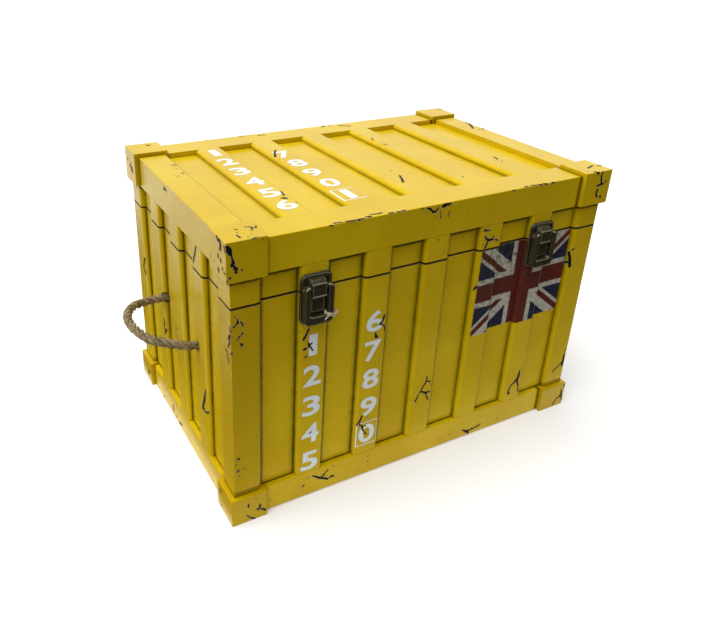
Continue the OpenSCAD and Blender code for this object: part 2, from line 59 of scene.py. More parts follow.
def setUpCamera():
    data = bpy.data.cameras.new("viewCamera")
    data.lens = viewpoint["lens"]
    data.sensor_width = 36
    data.shift_x, data.shift_y = viewpoint["shift"]
    forward = Vector(viewpoint["forward"]).normalized()
    right = Vector(viewpoint["right"])
    right = (right - right.dot(forward) * forward).normalized()
    turned = Matrix((right, right.cross(forward), -forward)).transposed().to_4x4()
    turned.translation = viewpoint["place"]
    camera = bpy.data.objects.new("viewCamera", data)
    camera.matrix_world = turned
    bpy.context.scene.collection.objects.link(camera)
    bpy.context.scene.camera = camera


setUpCamera()
print("camera is set")


# A number in a material, on which Python's own operators work
class Reading:
    def __init__(self, finish, socket):
        self.finish, self.socket = finish, socket

    def __add__(self, other):
        return self.finish.maths("ADD", self, other)

    def __sub__(self, other):
        return self.finish.maths("SUBTRACT", self, other)

    def __rsub__(self, other):
        return self.finish.maths("SUBTRACT", other, self)

    def __mul__(self, other):
        return self.finish.maths("MULTIPLY", self, other)

    def __truediv__(self, other):
        return self.finish.maths("DIVIDE", self, other)

    __radd__ = __add__
    __rmul__ = __mul__


# The nodes of one material or of the world
class Finish:
    def __init__(self, name, owner=None):
        self.owner = owner or bpy.data.materials.new(name)
        self.owner.use_nodes = True
        self.tree = self.owner.node_tree
        self.tree.nodes.clear()

    def node(self, kind, settings=None, values=None):
        made = self.tree.nodes.new(kind)
        for name, value in (settings or {}).items():
            if name == "stops":
                ramp = made.color_ramp
                while len(ramp.elements) < len(value):
                    ramp.elements.new(0.5)
                for stop, (place, colour) in zip(ramp.elements, value):
                    stop.position, stop.color = place, (*colour, 1)
            else:
                setattr(made, name, value)
        for name, value in (values or {}).items():
            self.feed(made.inputs[name], value)
        return made

    def feed(self, socket, value):
        if isinstance(value, Reading):
            value = value.socket
        if isinstance(value, bpy.types.NodeSocket):
            self.tree.links.new(value, socket)
        elif socket.type == "RGBA":
            socket.default_value = (*value, 1)
        else:
            socket.default_value = value

    def maths(self, operation, *values):
        made = self.node("ShaderNodeMath", {"operation": operation}, dict(enumerate(values)))
        return Reading(self, made.outputs[0])

    def vector(self, operation, *values):
        slots = {3 if operation == "SCALE" and n == 1 else n: v for n, v in enumerate(values)}
        made = self.node("ShaderNodeVectorMath", {"operation": operation}, slots)
        if operation in ("DOT_PRODUCT", "LENGTH", "DISTANCE"):
            return Reading(self, made.outputs["Value"])
        return made.outputs["Vector"]

    # 0 at one value, 1 at the other, smooth between
    def fade(self, value, zeroAt, oneAt):
        made = self.node("ShaderNodeMapRange", {"interpolation_type": "SMOOTHSTEP"},
                         {0: value, 1: zeroAt, 2: oneAt, 3: 0.0, 4: 1.0})
        return Reading(self, made.outputs[0])

    def least(self, *values):
        result = values[0]
        for value in values[1:]:
            result = self.maths("MINIMUM", result, value)
        return result

    def most(self, *values):
        result = values[0]
        for value in values[1:]:
            result = self.maths("MAXIMUM", result, value)
        return result

    def grain(self, place, scale, detail=2.0, rough=0.5):
        made = self.node("ShaderNodeTexNoise", {},
                         {"Vector": place, "Scale": scale, "Detail": detail, "Roughness": rough})
        return Reading(self, made.outputs[0])

    def blend(self, factor, first, second, kind="MIX"):
        made = self.node("ShaderNodeMix", {"data_type": "RGBA", "blend_type": kind, "clamp_factor": True},
                         {0: factor, 6: first, 7: second})
        return made.outputs[2]

    def place(self):
        where = self.node("ShaderNodeTexCoord").outputs["Object"]
        return self.vector("SCALE", where, 1000.0)  # millimetres

    def parts(self, vector):
        made = self.node("ShaderNodeSeparateXYZ", {}, {0: vector})
        return [Reading(self, s) for s in made.outputs]

    def surface(self, colour, rough, height, depth, fixed=None):
        shader = self.node("ShaderNodeBsdfPrincipled", {}, {"Base Color": colour, "Roughness": rough, **(fixed or {})})
        bump = self.node("ShaderNodeBump", {}, {"Strength": 1.0, "Distance": depth, "Height": height})
        self.feed(shader.inputs["Normal"], bump.outputs[0])
        self.node("ShaderNodeOutputMaterial", {}, {"Surface": shader.outputs[0]})
        return self.owner


# the chest's own planes in millimetres, as in the part
chest = {
    "face": (235.0, 155.0), "recess": (229.0, 149.0), "room": (221.0, 141.0, 9.5, 312.0),
    "boardTop": 320.0, "ribTop": 326.0, "railLow": 290.0, "footHigh": 34.0,
    "baseTop": 260.0, "seam": 260.4, "lidLow": 260.8,
    "railEnd": (199.0, 120.0), "recessEnd": (205.0, 125.0), "topEnd": 119.0,
}
ribs = {"long": 73.1667, "end": 69.75, "half": 16.5, "round": 5.0}  # spacing, half width and rounding

# a handle's route is in hundredths of half the distance between its holes: out, along, up, as in the part
handle = {
    "half": 57.75, "middle": -2.75, "height": 169.0, "face": 235.0, "out": 5.5,
    "route": [[10, -100, 0], [20, -98, 2], [32, -92, 4], [45, -84, 5], [58, -75, 7], [70, -64, 7],
              [80, -50, 8], [87, -32, 9], [92, -11, 9], [94, 11, 8], [93, 32, 6], [88, 54, 5],
              [79, 72, 4], [67, 86, 3], [53, 94, 1], [38, 98, 0], [22, 100, 0], [10, 100, 0]],
    "length": 0.182,
    "strandOut": 2.7, "strandRadius": 2.4, "turn": 27.0, "step": 1.1, "sides": 12,
    "fuzz": 230, "fuzzReach": (5.4, 7.6),
}


def throughPoints(points, step):
    # an even walk along a smooth curve through the points
    dense = []
    ends = [2 * points[0] - points[1], *points, 2 * points[-1] - points[-2]]
    for a, b, c, d in zip(ends, ends[1:], ends[2:], ends[3:]):
        for k in range(12):
            t = k / 12
            dense.append(0.5 * ((2 * b) + (c - a) * t + (2 * a - 5 * b + 4 * c - d) * t * t
                                + (3 * b - a - 3 * c + d) * t * t * t))
    dense.append(points[-1].copy())
    total = sum((q - p).length for p, q in zip(dense, dense[1:]))
    count = max(4, round(total / step))
    walked, left, result = 0.0, total / count, [dense[0].copy()]
    for p, q in zip(dense, dense[1:]):
        piece = (q - p).length
        while walked + piece >= left * len(result) - 1e-12 and len(result) < count:
            result.append(p.lerp(q, (left * len(result) - walked) / max(piece, 1e-12)))
        walked += piece
    result.append(dense[-1].copy())
    return result


def frames(line):
    # a direction and a side for each point, carried along without twisting
    heading = [(b - a).normalized() for a, b in zip([line[0], *line[:-1]], [*line[1:], line[-1]])]
    side = heading[0].orthogonal().normalized()
    result = []
    for ahead in heading:
        side = (side - side.dot(ahead) * ahead).normalized()
        result.append((ahead, side, ahead.cross(side)))
    return result


def strandPoints(line, count, out, turn, step, start=0.0):
    # the middle lines of the strands that are laid round a rope's own line
    strands = [[] for _ in range(count)]
    for n, (point, (_, side, up)) in enumerate(zip(line, frames(line))):
        for k in range(count):
            angle = start + 2 * math.pi * (k / count + n * step / turn)
            strands[k].append(point + out * (math.cos(angle) * side + math.sin(angle) * up))
    return strands


def tubesAlong(name, lines, radii, sides=12):
    # round tubes along open lines, each with its own run of distances for the fibre pattern
    data = bpy.data.curves.new(name, "CURVE")
    data.dimensions = "3D"
    data.bevel_depth = 1.0
    data.bevel_resolution = (sides - 4) // 2
    data.use_fill_caps = True
    for line, radius in zip(lines, radii):
        spline = data.splines.new("POLY")
        spline.points.add(len(line) - 1)
        for n, (point, place) in enumerate(zip(spline.points, line)):
            point.co = (*(place * mm), 1)
            point.radius = (radius[n] if isinstance(radius, list) else radius) * mm
    holder = bpy.data.objects.new(name, data)
    mesh = bpy.data.meshes.new_from_object(holder)
    bpy.data.objects.remove(holder)
    mesh.name = name
    for face in mesh.polygons:
        face.use_smooth = True
    return mesh


def addPiece(name, mesh, body, materials, stands=()):
    for material in materials if isinstance(materials, (list, tuple)) else [materials]:
        mesh.materials.append(material)
    piece = bpy.data.objects.new(name, mesh)
    bpy.context.scene.collection.objects.link(piece)
    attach(piece, body)
    if stands:
        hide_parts(*stands)
    return piece


def ropeMaterial():
    f = Finish("juteRope")
    place = f.place()
    along = f.node("ShaderNodeAttribute", {"attribute_name": "fibreRun"}).outputs["Vector"]
    fibre = f.grain(f.vector("MULTIPLY", along, (0.35, 5.0, 1.0)), 1.0, 3, 0.6)
    blotch = f.grain(place, 0.09, 3)
    dust = f.grain(place, 0.9, 2)
    tone = f.maths("MULTIPLY_ADD", fibre, 0.95, blotch * 0.35 + dust * 0.3 - 0.34)
    stops = [(0.28, (0.05, 0.032, 0.014)), (0.42, (0.19, 0.135, 0.062)), (0.56, (0.38, 0.30, 0.165)),
             (0.74, (0.66, 0.58, 0.38))]
    colour = f.node("ShaderNodeValToRGB", {"stops": stops}, {0: tone}).outputs[0]
    groove = Reading(f, f.node("ShaderNodeAttribute", {"attribute_name": "groove"}).outputs["Fac"])
    # painted shade between the strands
    colour = f.blend(groove * 1.35, colour, (0.020, 0.012, 0.005))
    return f.surface(colour, 0.85, fibre * 1.1 + dust * 0.4, 0.0006, {"Specular IOR Level": 0.25})


def handleLine(side):
    h = handle
    points = [Vector((-h["face"] - 0.7, h["middle"] - h["half"], h["height"])),
              Vector((-h["face"] - 3.0, h["middle"] - h["half"], h["height"]))]
    for out, along, up in h["route"]:
        points.append(Vector((-h["face"] - max(h["half"] * out / 100, h["out"]),
                              h["middle"] + h["half"] * along / 100, h["height"] + h["half"] * up / 100)))
    points.append(Vector((-h["face"] - 3.0, h["middle"] + h["half"], h["height"])))
    points.append(Vector((-h["face"] - 0.7, h["middle"] + h["half"], h["height"])))
    for p in points:
        p.x *= -side
    return throughPoints(points, h["step"])


def markStrands(mesh, lines, sides, centres, reach):
    # fibre pattern: distance along a strand and angle round it; groove: how deep between the strands, for painted shade
    # in the grooves
    mesh.attributes.new("fibreRun", "FLOAT_VECTOR", "POINT")
    mesh.attributes.new("groove", "FLOAT", "POINT")
    run, groove = mesh.attributes["fibreRun"], mesh.attributes["groove"]
    index = 0
    for number, line in enumerate(lines):
        travelled = 0.0
        for n, point in enumerate(line):
            travelled += (point - line[n - 1]).length if n else 0.0
            for k in range(sides):
                vertex = mesh.vertices[index]
                run.data[index].vector = (travelled, 2 * math.pi * k / sides + travelled * 0.35, number * 7.3)
                away = (vertex.co / mm - centres[number][n]).length
                groove.data[index].value = max(0.0, min(1.0, (reach - away) / 2.1)) ** 1.2
                index += 1


jute = ropeMaterial()


def looseFibres(line, count, dice, near=4.6, reach=(5.4, 7.6), run=(3.0, 7.0), thick=0.11):
    # short hairs that lift off the strands
    hairs = []
    around = frames(line)
    for _ in range(count):
        n = dice.randrange(4, len(line) - 8)
        angle, step = dice.uniform(0, 2 * math.pi), dice.choice((-1, 1))
        far, turn, length = dice.uniform(*reach), dice.uniform(-0.9, 0.9), dice.uniform(*run)
        hair = []
        for k in range(4):
            _, side, up = around[n]
            swing = angle + turn * k / 3
            out = near + (far - near) * (k / 3) ** 1.4
            hair.append(line[n] + around[n][0] * step * length * k / 3
                        + out * (math.cos(swing) * side + math.sin(swing) * up))
        hairs.append(hair)
    return hairs, [thick] * count


def ropeMesh(name, lines, dice, fuzz):
    h = handle
    strands, centres = [], []
    for line in lines:
        strands += strandPoints(line, 3, h["strandOut"], h["turn"], h["step"], dice.uniform(0, 2))
        centres += [line] * 3
    radii = []
    for strand in strands:
        shift = dice.uniform(0, 50)
        radii.append([h["strandRadius"] * (1 + 0.10 * noise.noise(Vector((n * 0.11, shift, 0))))
                      for n in range(len(strand))])
    mesh = tubesAlong(name, strands, radii, h["sides"])
    markStrands(mesh, strands, h["sides"], centres, h["strandOut"] + h["strandRadius"])
    hairs, thick = [], []
    for line in lines:
        more, widths = looseFibres(line, fuzz, dice, reach=h["fuzzReach"])
        hairs, thick = hairs + more, thick + widths
    return joined(mesh, tubesAlong(name + "Hairs", hairs, thick, 4))


def joined(mesh, other):
    # the second mesh goes into the first
    bm = bmesh.new()
    bm.from_mesh(mesh)
    bm.from_mesh(other)
    bpy.data.meshes.remove(other)
    bm.to_mesh(mesh)
    bm.free()
    for face in mesh.polygons:
        face.use_smooth = True
    return mesh


def makeHandle(side, word):
    h = handle
    line = handleLine(side)
    mesh = ropeMesh(word + "Rope", [line], random.Random(3 + side), h["fuzz"])
    piece = addPiece(word + "Rope", mesh, word + "_handle", jute, [word + "_handle_rope"])
    path = [list(p * mm) for p in line]
    print("rope", word, "runs", round(sum((b - a).length for a, b in zip(line, line[1:])), 1), "mm")


makeHandle(-1, "left")
makeHandle(1, "right")


# sharp edges are eased, and angles below the second one shade smoothly, in degrees
easing = {"segments": 2, "sharpAbove": 28, "smoothBelow": 50}


def finishedCopy(node, edge, plain=(), edgeSlot=-1):
    # the part's own solid with its flat faces joined and its sharp edges eased
    bm = bmesh.new()
    bm.from_mesh(nodes[node].data)
    bmesh.ops.remove_doubles(bm, verts=bm.verts, dist=2e-6)
    bmesh.ops.dissolve_limit(bm, angle_limit=math.radians(0.4), verts=bm.verts, edges=bm.edges)

    def keptPlain(e):
        return any(all(abs(v.co[axis] / mm - value) < 0.02 for v in e.verts) for axis, value in plain)

    eased = [e for e in bm.edges if len(e.link_faces) == 2
             and e.calc_face_angle(0) > math.radians(easing["sharpAbove"]) and not keptPlain(e)]
    bmesh.ops.bevel(bm, geom=eased, offset=edge * mm, offset_type="OFFSET", affect="EDGES",
                    segments=easing["segments"], profile=0.5, material=edgeSlot, clamp_overlap=True)
    for face in bm.faces:
        face.smooth = True
    for e in bm.edges:
        e.smooth = len(e.link_faces) == 2 and e.calc_face_angle(0) < math.radians(easing["smoothBelow"])
    mesh = bpy.data.meshes.new(node)
    bm.to_mesh(mesh)
    bm.free()
    return mesh


def evenNormals(piece):
    weighted = piece.modifiers.new("evenNormals", "WEIGHTED_NORMAL")
    weighted.keep_sharp = True
    weighted.weight = 100


# Chips in the paint: broken lines in millimetres on a piece's side, each point with its half width
chips = {
    "front_left_post": {
        "front": [
            [(-227.4, 248.1, 0.7), (-227.9, 246.1, 1.3), (-228.6, 244, 0.6)],
            [(-224.3, 245.2, 0.7), (-222.7, 242, 0.7), (-222.6, 240.3, 0.4)],
            [(-229.5, 243.6, 0.3), (-231.1, 241.4, 0.5), (-233.2, 241.7, 0.4)],
            [(-222.9, 233.1, 0.7), (-225.4, 230.7, 0.3), (-227.4, 228.7, 0.7), (-228.4, 226.9, 0.3)],
            [(-225.5, 222.3, 0.5), (-223.7, 220.7, 0.9), (-222.6, 221, 0.5)],
            [(-223.9, 220.7, 0.8), (-224.7, 218.3, 0.4)], [(-233.1, 213.9, 0.5), (-235.3, 213.4, 0.8)],
            [(-229.9, 252.4, 0.5)], [(-230.2, 84.7, 1.1), (-228.3, 84.9, 0.7)], [(-232.2, 78.7, 0.7)],
            [(-222.9, 70.1, 0.7)], [(-230.8, 68.8, 1), (-228.6, 69.8, 0.7)], [(-228.5, 61.7, 0.7)],
        ],
        "left": [
            [(-153, 240.7, 0.6), (-155.5, 236.2, 0.3)],
            [(-153.5, 232.3, 0.9), (-151, 227.8, 1.1), (-152.6, 225.2, 0.9), (-149, 217.1, 0.5)],
            [(-141.6, 210.7, 0.3), (-145.5, 211.1, 0.5)],
            [(-145.7, 208.1, 0.5), (-147.8, 203.5, 0.7), (-151.3, 200.6, 0.2)],
        ],
    },
    "front_left_foot": {
        "front": [
            [(-221, 25.2, 0.6), (-221.3, 20.5, 1)], [(-207.4, 18.2, 0.7), (-209.1, 12, 1.2)],
            [(-211.6, 13.1, 0.4), (-207.4, 14.2, 0.4)], [(-205.8, 10.9, 1.2), (-201.6, 8.2, 0.9)],
            [(-223.1, 10.3, 0.4), (-220.7, 5.6, 0.7), (-213.8, 1, 0.9)], [(-212.7, 28.8, 0.6)],
        ],
        "left": [
            [(-127.9, 25.1, 0.8), (-129.8, 22.7, 0.9)], [(-129.3, 4.2, 0.6)],
        ],
    },
    "front_bottom_rail": {
        "front": [
            [(-141.1, 26.1, 0.6), (-132.5, 19.9, 1.3), (-121.7, 14, 0.9), (-118.6, 14.7, 0.6), (-115, 15.3, 1.6)],
            [(-128.8, 19.8, 0.6), (-124.5, 24.8, 0.6), (-121.5, 26.6, 0.6)],
            [(-154.6, 15.5, 0.5), (-152.3, 16.6, 0.9)], [(-146.6, 25.1, 0.5)], [(-115.2, 30.5, 0.5)],
            [(-68.7, 26, 0.6)], [(-68, 17.8, 0.6)], [(-192.5, 12.1, 0.5)],
            [(73.2, 11.2, 0.9), (79.8, 6.9, 1.6), (86.8, 8.2, 0.9), (96.8, 9.2, 0.9), (101.7, 11, 0.6)],
            [(80.6, 6.7, 1.1), (83.5, 2.1, 0.7)], [(52.2, 12.9, 0.4)], [(129.5, 9.6, 0.7)],
        ],
    },
    "front_ribs": {
        "front": [
            [(-151.8, 219.2, 0.6), (-154.2, 214, 1), (-157.5, 207.8, 1.2)],
            [(-156.4, 196.2, 1.4), (-154.1, 197.1, 0.8)],
            [(-152.7, 202.9, 0.8), (-149.7, 197.3, 0.6), (-146.9, 192.3, 0.8)],
            [(-153.4, 186.9, 1), (-155.1, 186.2, 0.6)], [(-152, 198, 0.6), (-148, 201, 0.4)],
            [(-163.4, 216.3, 0.5)],
            [(-61.4, 211.2, 0.9), (-63.2, 205.5, 1.1), (-66, 202.5, 0.9), (-67.9, 201.2, 0.6)],
            [(-66, 202.5, 0.6), (-60.1, 197.3, 0.6), (-59.7, 192.1, 1.1)],
            [(-71.5, 192.2, 0.6), (-70.6, 187.6, 1.3), (-68.9, 186.4, 0.9)],
            [(-80.9, 87.1, 0.9), (-83.2, 80.9, 1.1), (-86.9, 76.6, 0.9)],
            [(-84.3, 77.7, 0.7), (-79.2, 71.6, 0.6), (-75.2, 72.3, 0.5)],
            [(-80.7, 74.3, 0.9), (-77.7, 66.1, 0.6), (-74, 60.1, 0.9)], [(-73, 82.9, 0.6)],
            [(5.4, 113.1, 0.6), (5.2, 106.4, 1), (0.9, 99.7, 0.8), (-1.7, 94.9, 0.8)],
            [(5.2, 106.4, 0.8), (11.5, 104.7, 0.5)], [(12.1, 100.5, 0.5)],
            [(-1.7, 94.9, 0.8), (5.2, 90.7, 1.2), (11.6, 90.5, 0.8)], [(5.2, 90.7, 0.8), (10.9, 78.7, 0.6)],
            [(-1.7, 94.9, 0.6), (-4.8, 89, 0.6), (-7.4, 82.9, 1.2)],
            [(154.6, 74.8, 1.3), (154, 65.5, 1.6), (151.6, 62.1, 1.4), (142.8, 55.4, 0.7),
             (140.6, 47.9, 1.1), (142.3, 44.2, 1.4)],
            [(152.9, 61, 1.4), (156.7, 52.3, 0.7), (157.5, 42.3, 0.5)],
            [(57.7, 212.8, 0.8), (59.8, 215, 1.7), (61.4, 216.8, 1)], [(58.9, 197.7, 0.5)],
        ],
    },
    "front_right_post": {
        "front": [
            [(201.7, 228.3, 2.3), (204.8, 220.7, 2.1), (206.9, 211.3, 2.1)],
            [(205.7, 216, 1.6), (198.6, 215.6, 1.1)], [(207.4, 234.1, 0.9), (206, 231.8, 0.7)],
            [(219.7, 214.7, 0.7)], [(231.9, 83.2, 0.8)],
            [(231.6, 78, 0.8), (231.6, 67.9, 1.4), (231.3, 60.8, 1.6)],
            [(231.2, 66.8, 1), (224.9, 61.5, 0.5), (220.1, 58.8, 0.8), (216.6, 55, 1)],
        ],
    },
    "front_right_foot": {
        "front": [
            [(234.8, 23.8, 0.6), (235.4, 14.9, 1.4), (227.8, 11.2, 0.8), (223, 3.4, 0.6)],
            [(235.4, 14.9, 1), (239.1, 6.8, 0.8)], [(238, 29.6, 1.2), (239.6, 31.6, 0.8)],
        ],
    },
    "front_right_cap": {
        "front": [
            [(213.1, 332.3, 1.5), (216.7, 328.9, 1.7)],
            [(224.1, 329, 0.7), (222.3, 324.7, 1), (224.4, 317.5, 0.9)],
            [(219.2, 313.6, 0.9), (225.3, 314.4, 1.5), (228.4, 314.6, 0.9)],
            [(233.1, 317.3, 0.6), (230.2, 314.9, 0.4)],
            [(220.8, 308.1, 0.9), (219.5, 303.7, 1.1), (221.8, 299.4, 1.1)], [(227.6, 298.5, 1.6)],
            [(239.8, 307, 0.6)],
        ],
        "top": [
            [(216.5, -144.7, 0.7), (228.8, -140.7, 0.9)], [(234, -143.1, 0.7), (241.7, -144.7, 1.1)],
            [(208, -152.9, 0.4)], [(209.1, -144.4, 0.3)],
        ],
    },
    "lid_front_rail": {
        "front": [
            [(-25.8, 324.8, 0.7)],
            [(-19.9, 323.8, 0.7), (-17.1, 323.3, 1), (-12.8, 318.9, 1.2), (-9.4, 318.3, 0.9), (-5.1, 322.2, 0.5)],
            [(-22.5, 319.1, 0.4)], [(-2.2, 317.6, 0.3), (-2.8, 313.9, 0.3), (-1, 310.5, 0.4)],
            [(-7.5, 311.7, 0.5)], [(9.2, 314.6, 0.6), (8.3, 311, 0.7)],
            [(0.3, 322.7, 1.7), (2.9, 323.7, 1.4), (9.5, 324.5, 0.9)],
        ],
        "top": [
            [(-126.9, -152.5, 0.9), (-118.9, -153.8, 0.5)], [(-114.5, -153.8, 0.9), (-111.6, -154.2, 0.9)],
            [(-109.8, -154.4, 1.1), (-106.1, -154.6, 0.7)],
            [(-104.6, -154.4, 0.5), (-101, -154.8, 0.9), (-95.5, -154.2, 0.9)],
            [(-91.9, -152.7, 0.7), (-87, -153.2, 1.3)],
            [(-84.2, -149, 0.6), (-77.3, -150.6, 0.8), (-71.2, -149.5, 0.7)],
            [(-65.6, -153.5, 0.9), (-60.7, -153.8, 0.7)], [(-56.1, -154, 0.7), (-53.5, -155.2, 0.9)],
            [(-50.5, -153.9, 0.7), (-46.2, -154.6, 0.9)], [(-133.1, -155.7, 0.5), (-130.2, -155.9, 0.5)],
            [(93.2, -155.7, 0.7), (95.6, -155.7, 0.7)], [(113, -153.1, 1.2), (116.1, -153.3, 0.7)],
            [(120.9, -153.5, 0.7), (126.3, -154, 0.6)], [(130, -153.7, 0.8), (135.8, -155.5, 0.8)],
            [(138.7, -154.4, 1), (142.7, -155.5, 1)], [(150.3, -155.6, 1), (153.8, -155.6, 0.8)],
        ],
    },
    "lid_front_ribs": {
        "front": [
            [(58.2, 291.4, 0.6)], [(61.3, 285, 1.1), (69.2, 283.4, 0.4)],
            [(63, 278.4, 0.7), (64.3, 274.6, 0.9), (69.7, 271.5, 1.3), (74.5, 272.2, 1.1), (75.1, 275.6, 0.4)],
            [(77.9, 270.5, 0.6), (82.4, 269.4, 0.8)], [(68.4, 270.3, 0.9), (66.9, 267, 1.1), (65.1, 263.2, 0.7)],
            [(61.9, 267.9, 0.4)], [(8.1, 268.8, 0.5)],
        ],
    },
    "front_left_cap": {
        "top": [
            [(-224.3, -147.7, 0.6), (-223.7, -150.9, 0.7), (-223.2, -153.5, 0.6)], [(-232.7, -139.1, 0.4)],
            [(-221.3, -133.4, 0.2), (-218.7, -136.7, 0.2)], [(-221.4, -143, 0.3)], [(-216.2, -155.5, 0.3)],
            [(-211.4, -151.2, 0.3)],
            [(-210.2, -133.2, 0.3), (-206.5, -134.9, 0.5), (-204.7, -138.5, 0.7), (-201.7, -138.9, 0.7),
             (-199.4, -135.3, 0.5)],
            [(-204.8, -138.5, 0.5), (-207.3, -142.9, 0.4)], [(-213.8, -159.9, 0.4), (-208.6, -159, 0.3)],
        ],
        "front": [
            [(-240.1, 326.6, 0.7), (-238.2, 326.2, 1.6), (-236.7, 322.8, 2.6), (-235.6, 319, 1.3)],
            [(-234.9, 317.7, 0.4), (-234.2, 314.3, 0.7), (-232.7, 310.4, 1.4), (-234.3, 308.3, 1.6)],
            [(-232.8, 306.7, 1), (-230.5, 303.8, 1.6), (-230.5, 300.1, 1.2)], [(-225.1, 301.6, 0.9)],
            [(-236.2, 295.6, 0.9)], [(-239.8, 293.6, 0.4)],
        ],
        "left": [
            [(-140, 329.1, 0.6), (-142.2, 327.2, 0.9), (-146.6, 327.4, 1), (-148.9, 324.3, 1), (-148, 320, 1.2)],
            [(-156.9, 326.1, 0.4), (-158.5, 321.2, 0.4)], [(-142.7, 313.3, 0.4), (-142.1, 310.1, 0.6)],
            [(-148.3, 310.4, 0.6), (-148.1, 307.9, 0.7)], [(-141.6, 298.4, 0.6), (-142.4, 295.4, 0.7)],
            [(-151.7, 302.9, 0.4), (-153.5, 301.3, 0.4)], [(-155.3, 300.1, 0.4), (-157.2, 300.1, 0.4)],
            [(-122.9, 303.9, 0.3)],
        ],
    },
    "lid_left_rail": {
        "left": [
            [(23, 319, 1.2), (20.3, 319.1, 0.7)], [(16.5, 318.7, 0.4), (15.5, 317.3, 0.3)],
        ],
        "top": [
            [(-208.7, 75.1, 0.6), (-204.8, 73.3, 0.9)], [(-207.1, 42.7, 1.2)], [(-214.7, 35.3, 1)],
            [(-208.3, 61.2, 0.4)], [(-217.6, 41.4, 0.4)],
        ],
    },
    "left_ribs": {
        "left": [
            [(58.3, 138.4, 0.5), (57.4, 132.5, 0.8), (60.2, 125.4, 0.8), (55, 122.8, 0.9), (57.9, 116.6, 0.5)],
            [(14.6, 150, 0.3), (6.5, 151.9, 0.3)], [(11.3, 142.7, 0.4), (9.7, 138.3, 0.5)],
            [(8.3, 125.5, 0.5), (6.4, 123, 0.5)], [(-81, 122.7, 0.6), (-76.8, 109.3, 1.3), (-69.2, 91.1, 1.1)],
            [(-69.4, 93.9, 0.8), (-78, 92.1, 0.8), (-85.8, 95.5, 0.6)],
        ],
    },
    "lid_left_ribs": {
        "left": [
            [(-71, 290.6, 0.6), (-65.9, 278.9, 0.8), (-60.2, 267.9, 0.6)],
        ],
    },
    "back_left_post": {
        "left": [
            [(127.8, 189, 1.2), (134.1, 173.9, 1.2), (126.9, 168.9, 1)],
        ],
    },
    "left_bottom_rail": {
        "left": [
            [(44.6, 14.9, 1), (41.7, 9.3, 0.7)], [(20, 6.6, 1), (12.6, 8.1, 0.7)], [(81.5, 5.1, 0.8)],
            [(30.8, 8, 0.7)],
        ],
    },
    "lid_ribs": {
        "top": [
            [(-133.1, -54.5, 0.7), (-136.3, -67.2, 0.9)], [(-141.4, -73.4, 1.5), (-137.9, -75.1, 1.8)],
            [(-134, -90.3, 0.7)], [(-75, 77.2, 1.1), (-79.6, 69.4, 0.8), (-85.8, 55.4, 1.3)], [(-86.4, 42.7, 0.6)],
            [(9.5, -47.8, 0.5)], [(9.7, -65.4, 0.8), (5.2, -76.1, 1), (0.7, -84.5, 1.5)],
            [(64.3, 73.7, 0.8), (61.6, 66.2, 0.6)], [(63.5, 45.3, 0.7), (65.5, 41.6, 0.7)], [(72.2, -98.4, 0.8)],
            [(155.7, -56.7, 0.8), (153.7, -65.8, 0.8)], [(153.4, -73.1, 0.7)],
        ],
    },
    "back_left_cap": {
        "top": [
            [(-215.3, 151.1, 0.8), (-213.8, 147.9, 1.1), (-211, 149.2, 0.5)],
        ],
    },
    "lid_back_rail": {
        "top": [
            [(-89.5, 152.2, 0.6), (-83.9, 152.5, 0.6)], [(-76.3, 152, 0.6)],
            [(-65.9, 147.3, 0.7), (-57.4, 145.2, 0.7)], [(32.1, 150.2, 1), (37.3, 151.2, 1.3)], [(44.8, 149.8, 1)],
            [(57.7, 146.7, 0.8), (69.5, 136.9, 0.8)],
        ],
    },
    "back_right_cap": {
        "top": [
            [(236.1, 154.2, 1), (240.3, 148.5, 1.4)],
        ],
    },
    "lid_right_rail": {
        "top": [
            [(233.4, 87, 1), (234.2, 81.8, 1.3), (221.5, 57.3, 1.1)], [(233.5, 53.3, 0.8)],
        ],
    },
}

paint = {
    "yellow": (0.62, 0.415, 0.002),
    "light": (0.68, 0.475, 0.004),
    "deep": (0.47, 0.295, 0.001),
    "glazeAndShade": (0.040, 0.052, 0.001),
    "shadeBrown": (0.050, 0.030, 0.001),
    "bare": (0.009, 0.005, 0.003),
    "paleRimAndHighlight": (0.70, 0.58, 0.22),
    "holeShadow": (0.075, 0.010, 0.005),
    "burntAndShade": (0.030, 0.009, 0.004),
    "board": ((0.36, 0.245, 0.14), (0.55, 0.41, 0.26)),
    "shine": {"IOR": 1.47, "Specular Tint": (1.0, 0.78, 0.08)},
    # how much deeper a yellow each piece is given; on the front-left post and cap this is painted shade
    "darker": {"foot": 0.65, "front_left_post": 0.5, "front_left_cap": 0.3, "post": 0.2},
}

faceAxis = {"front": (1, 0), "back": (1, 1), "left": (0, 0), "right": (0, 1), "top": (2, 1)}


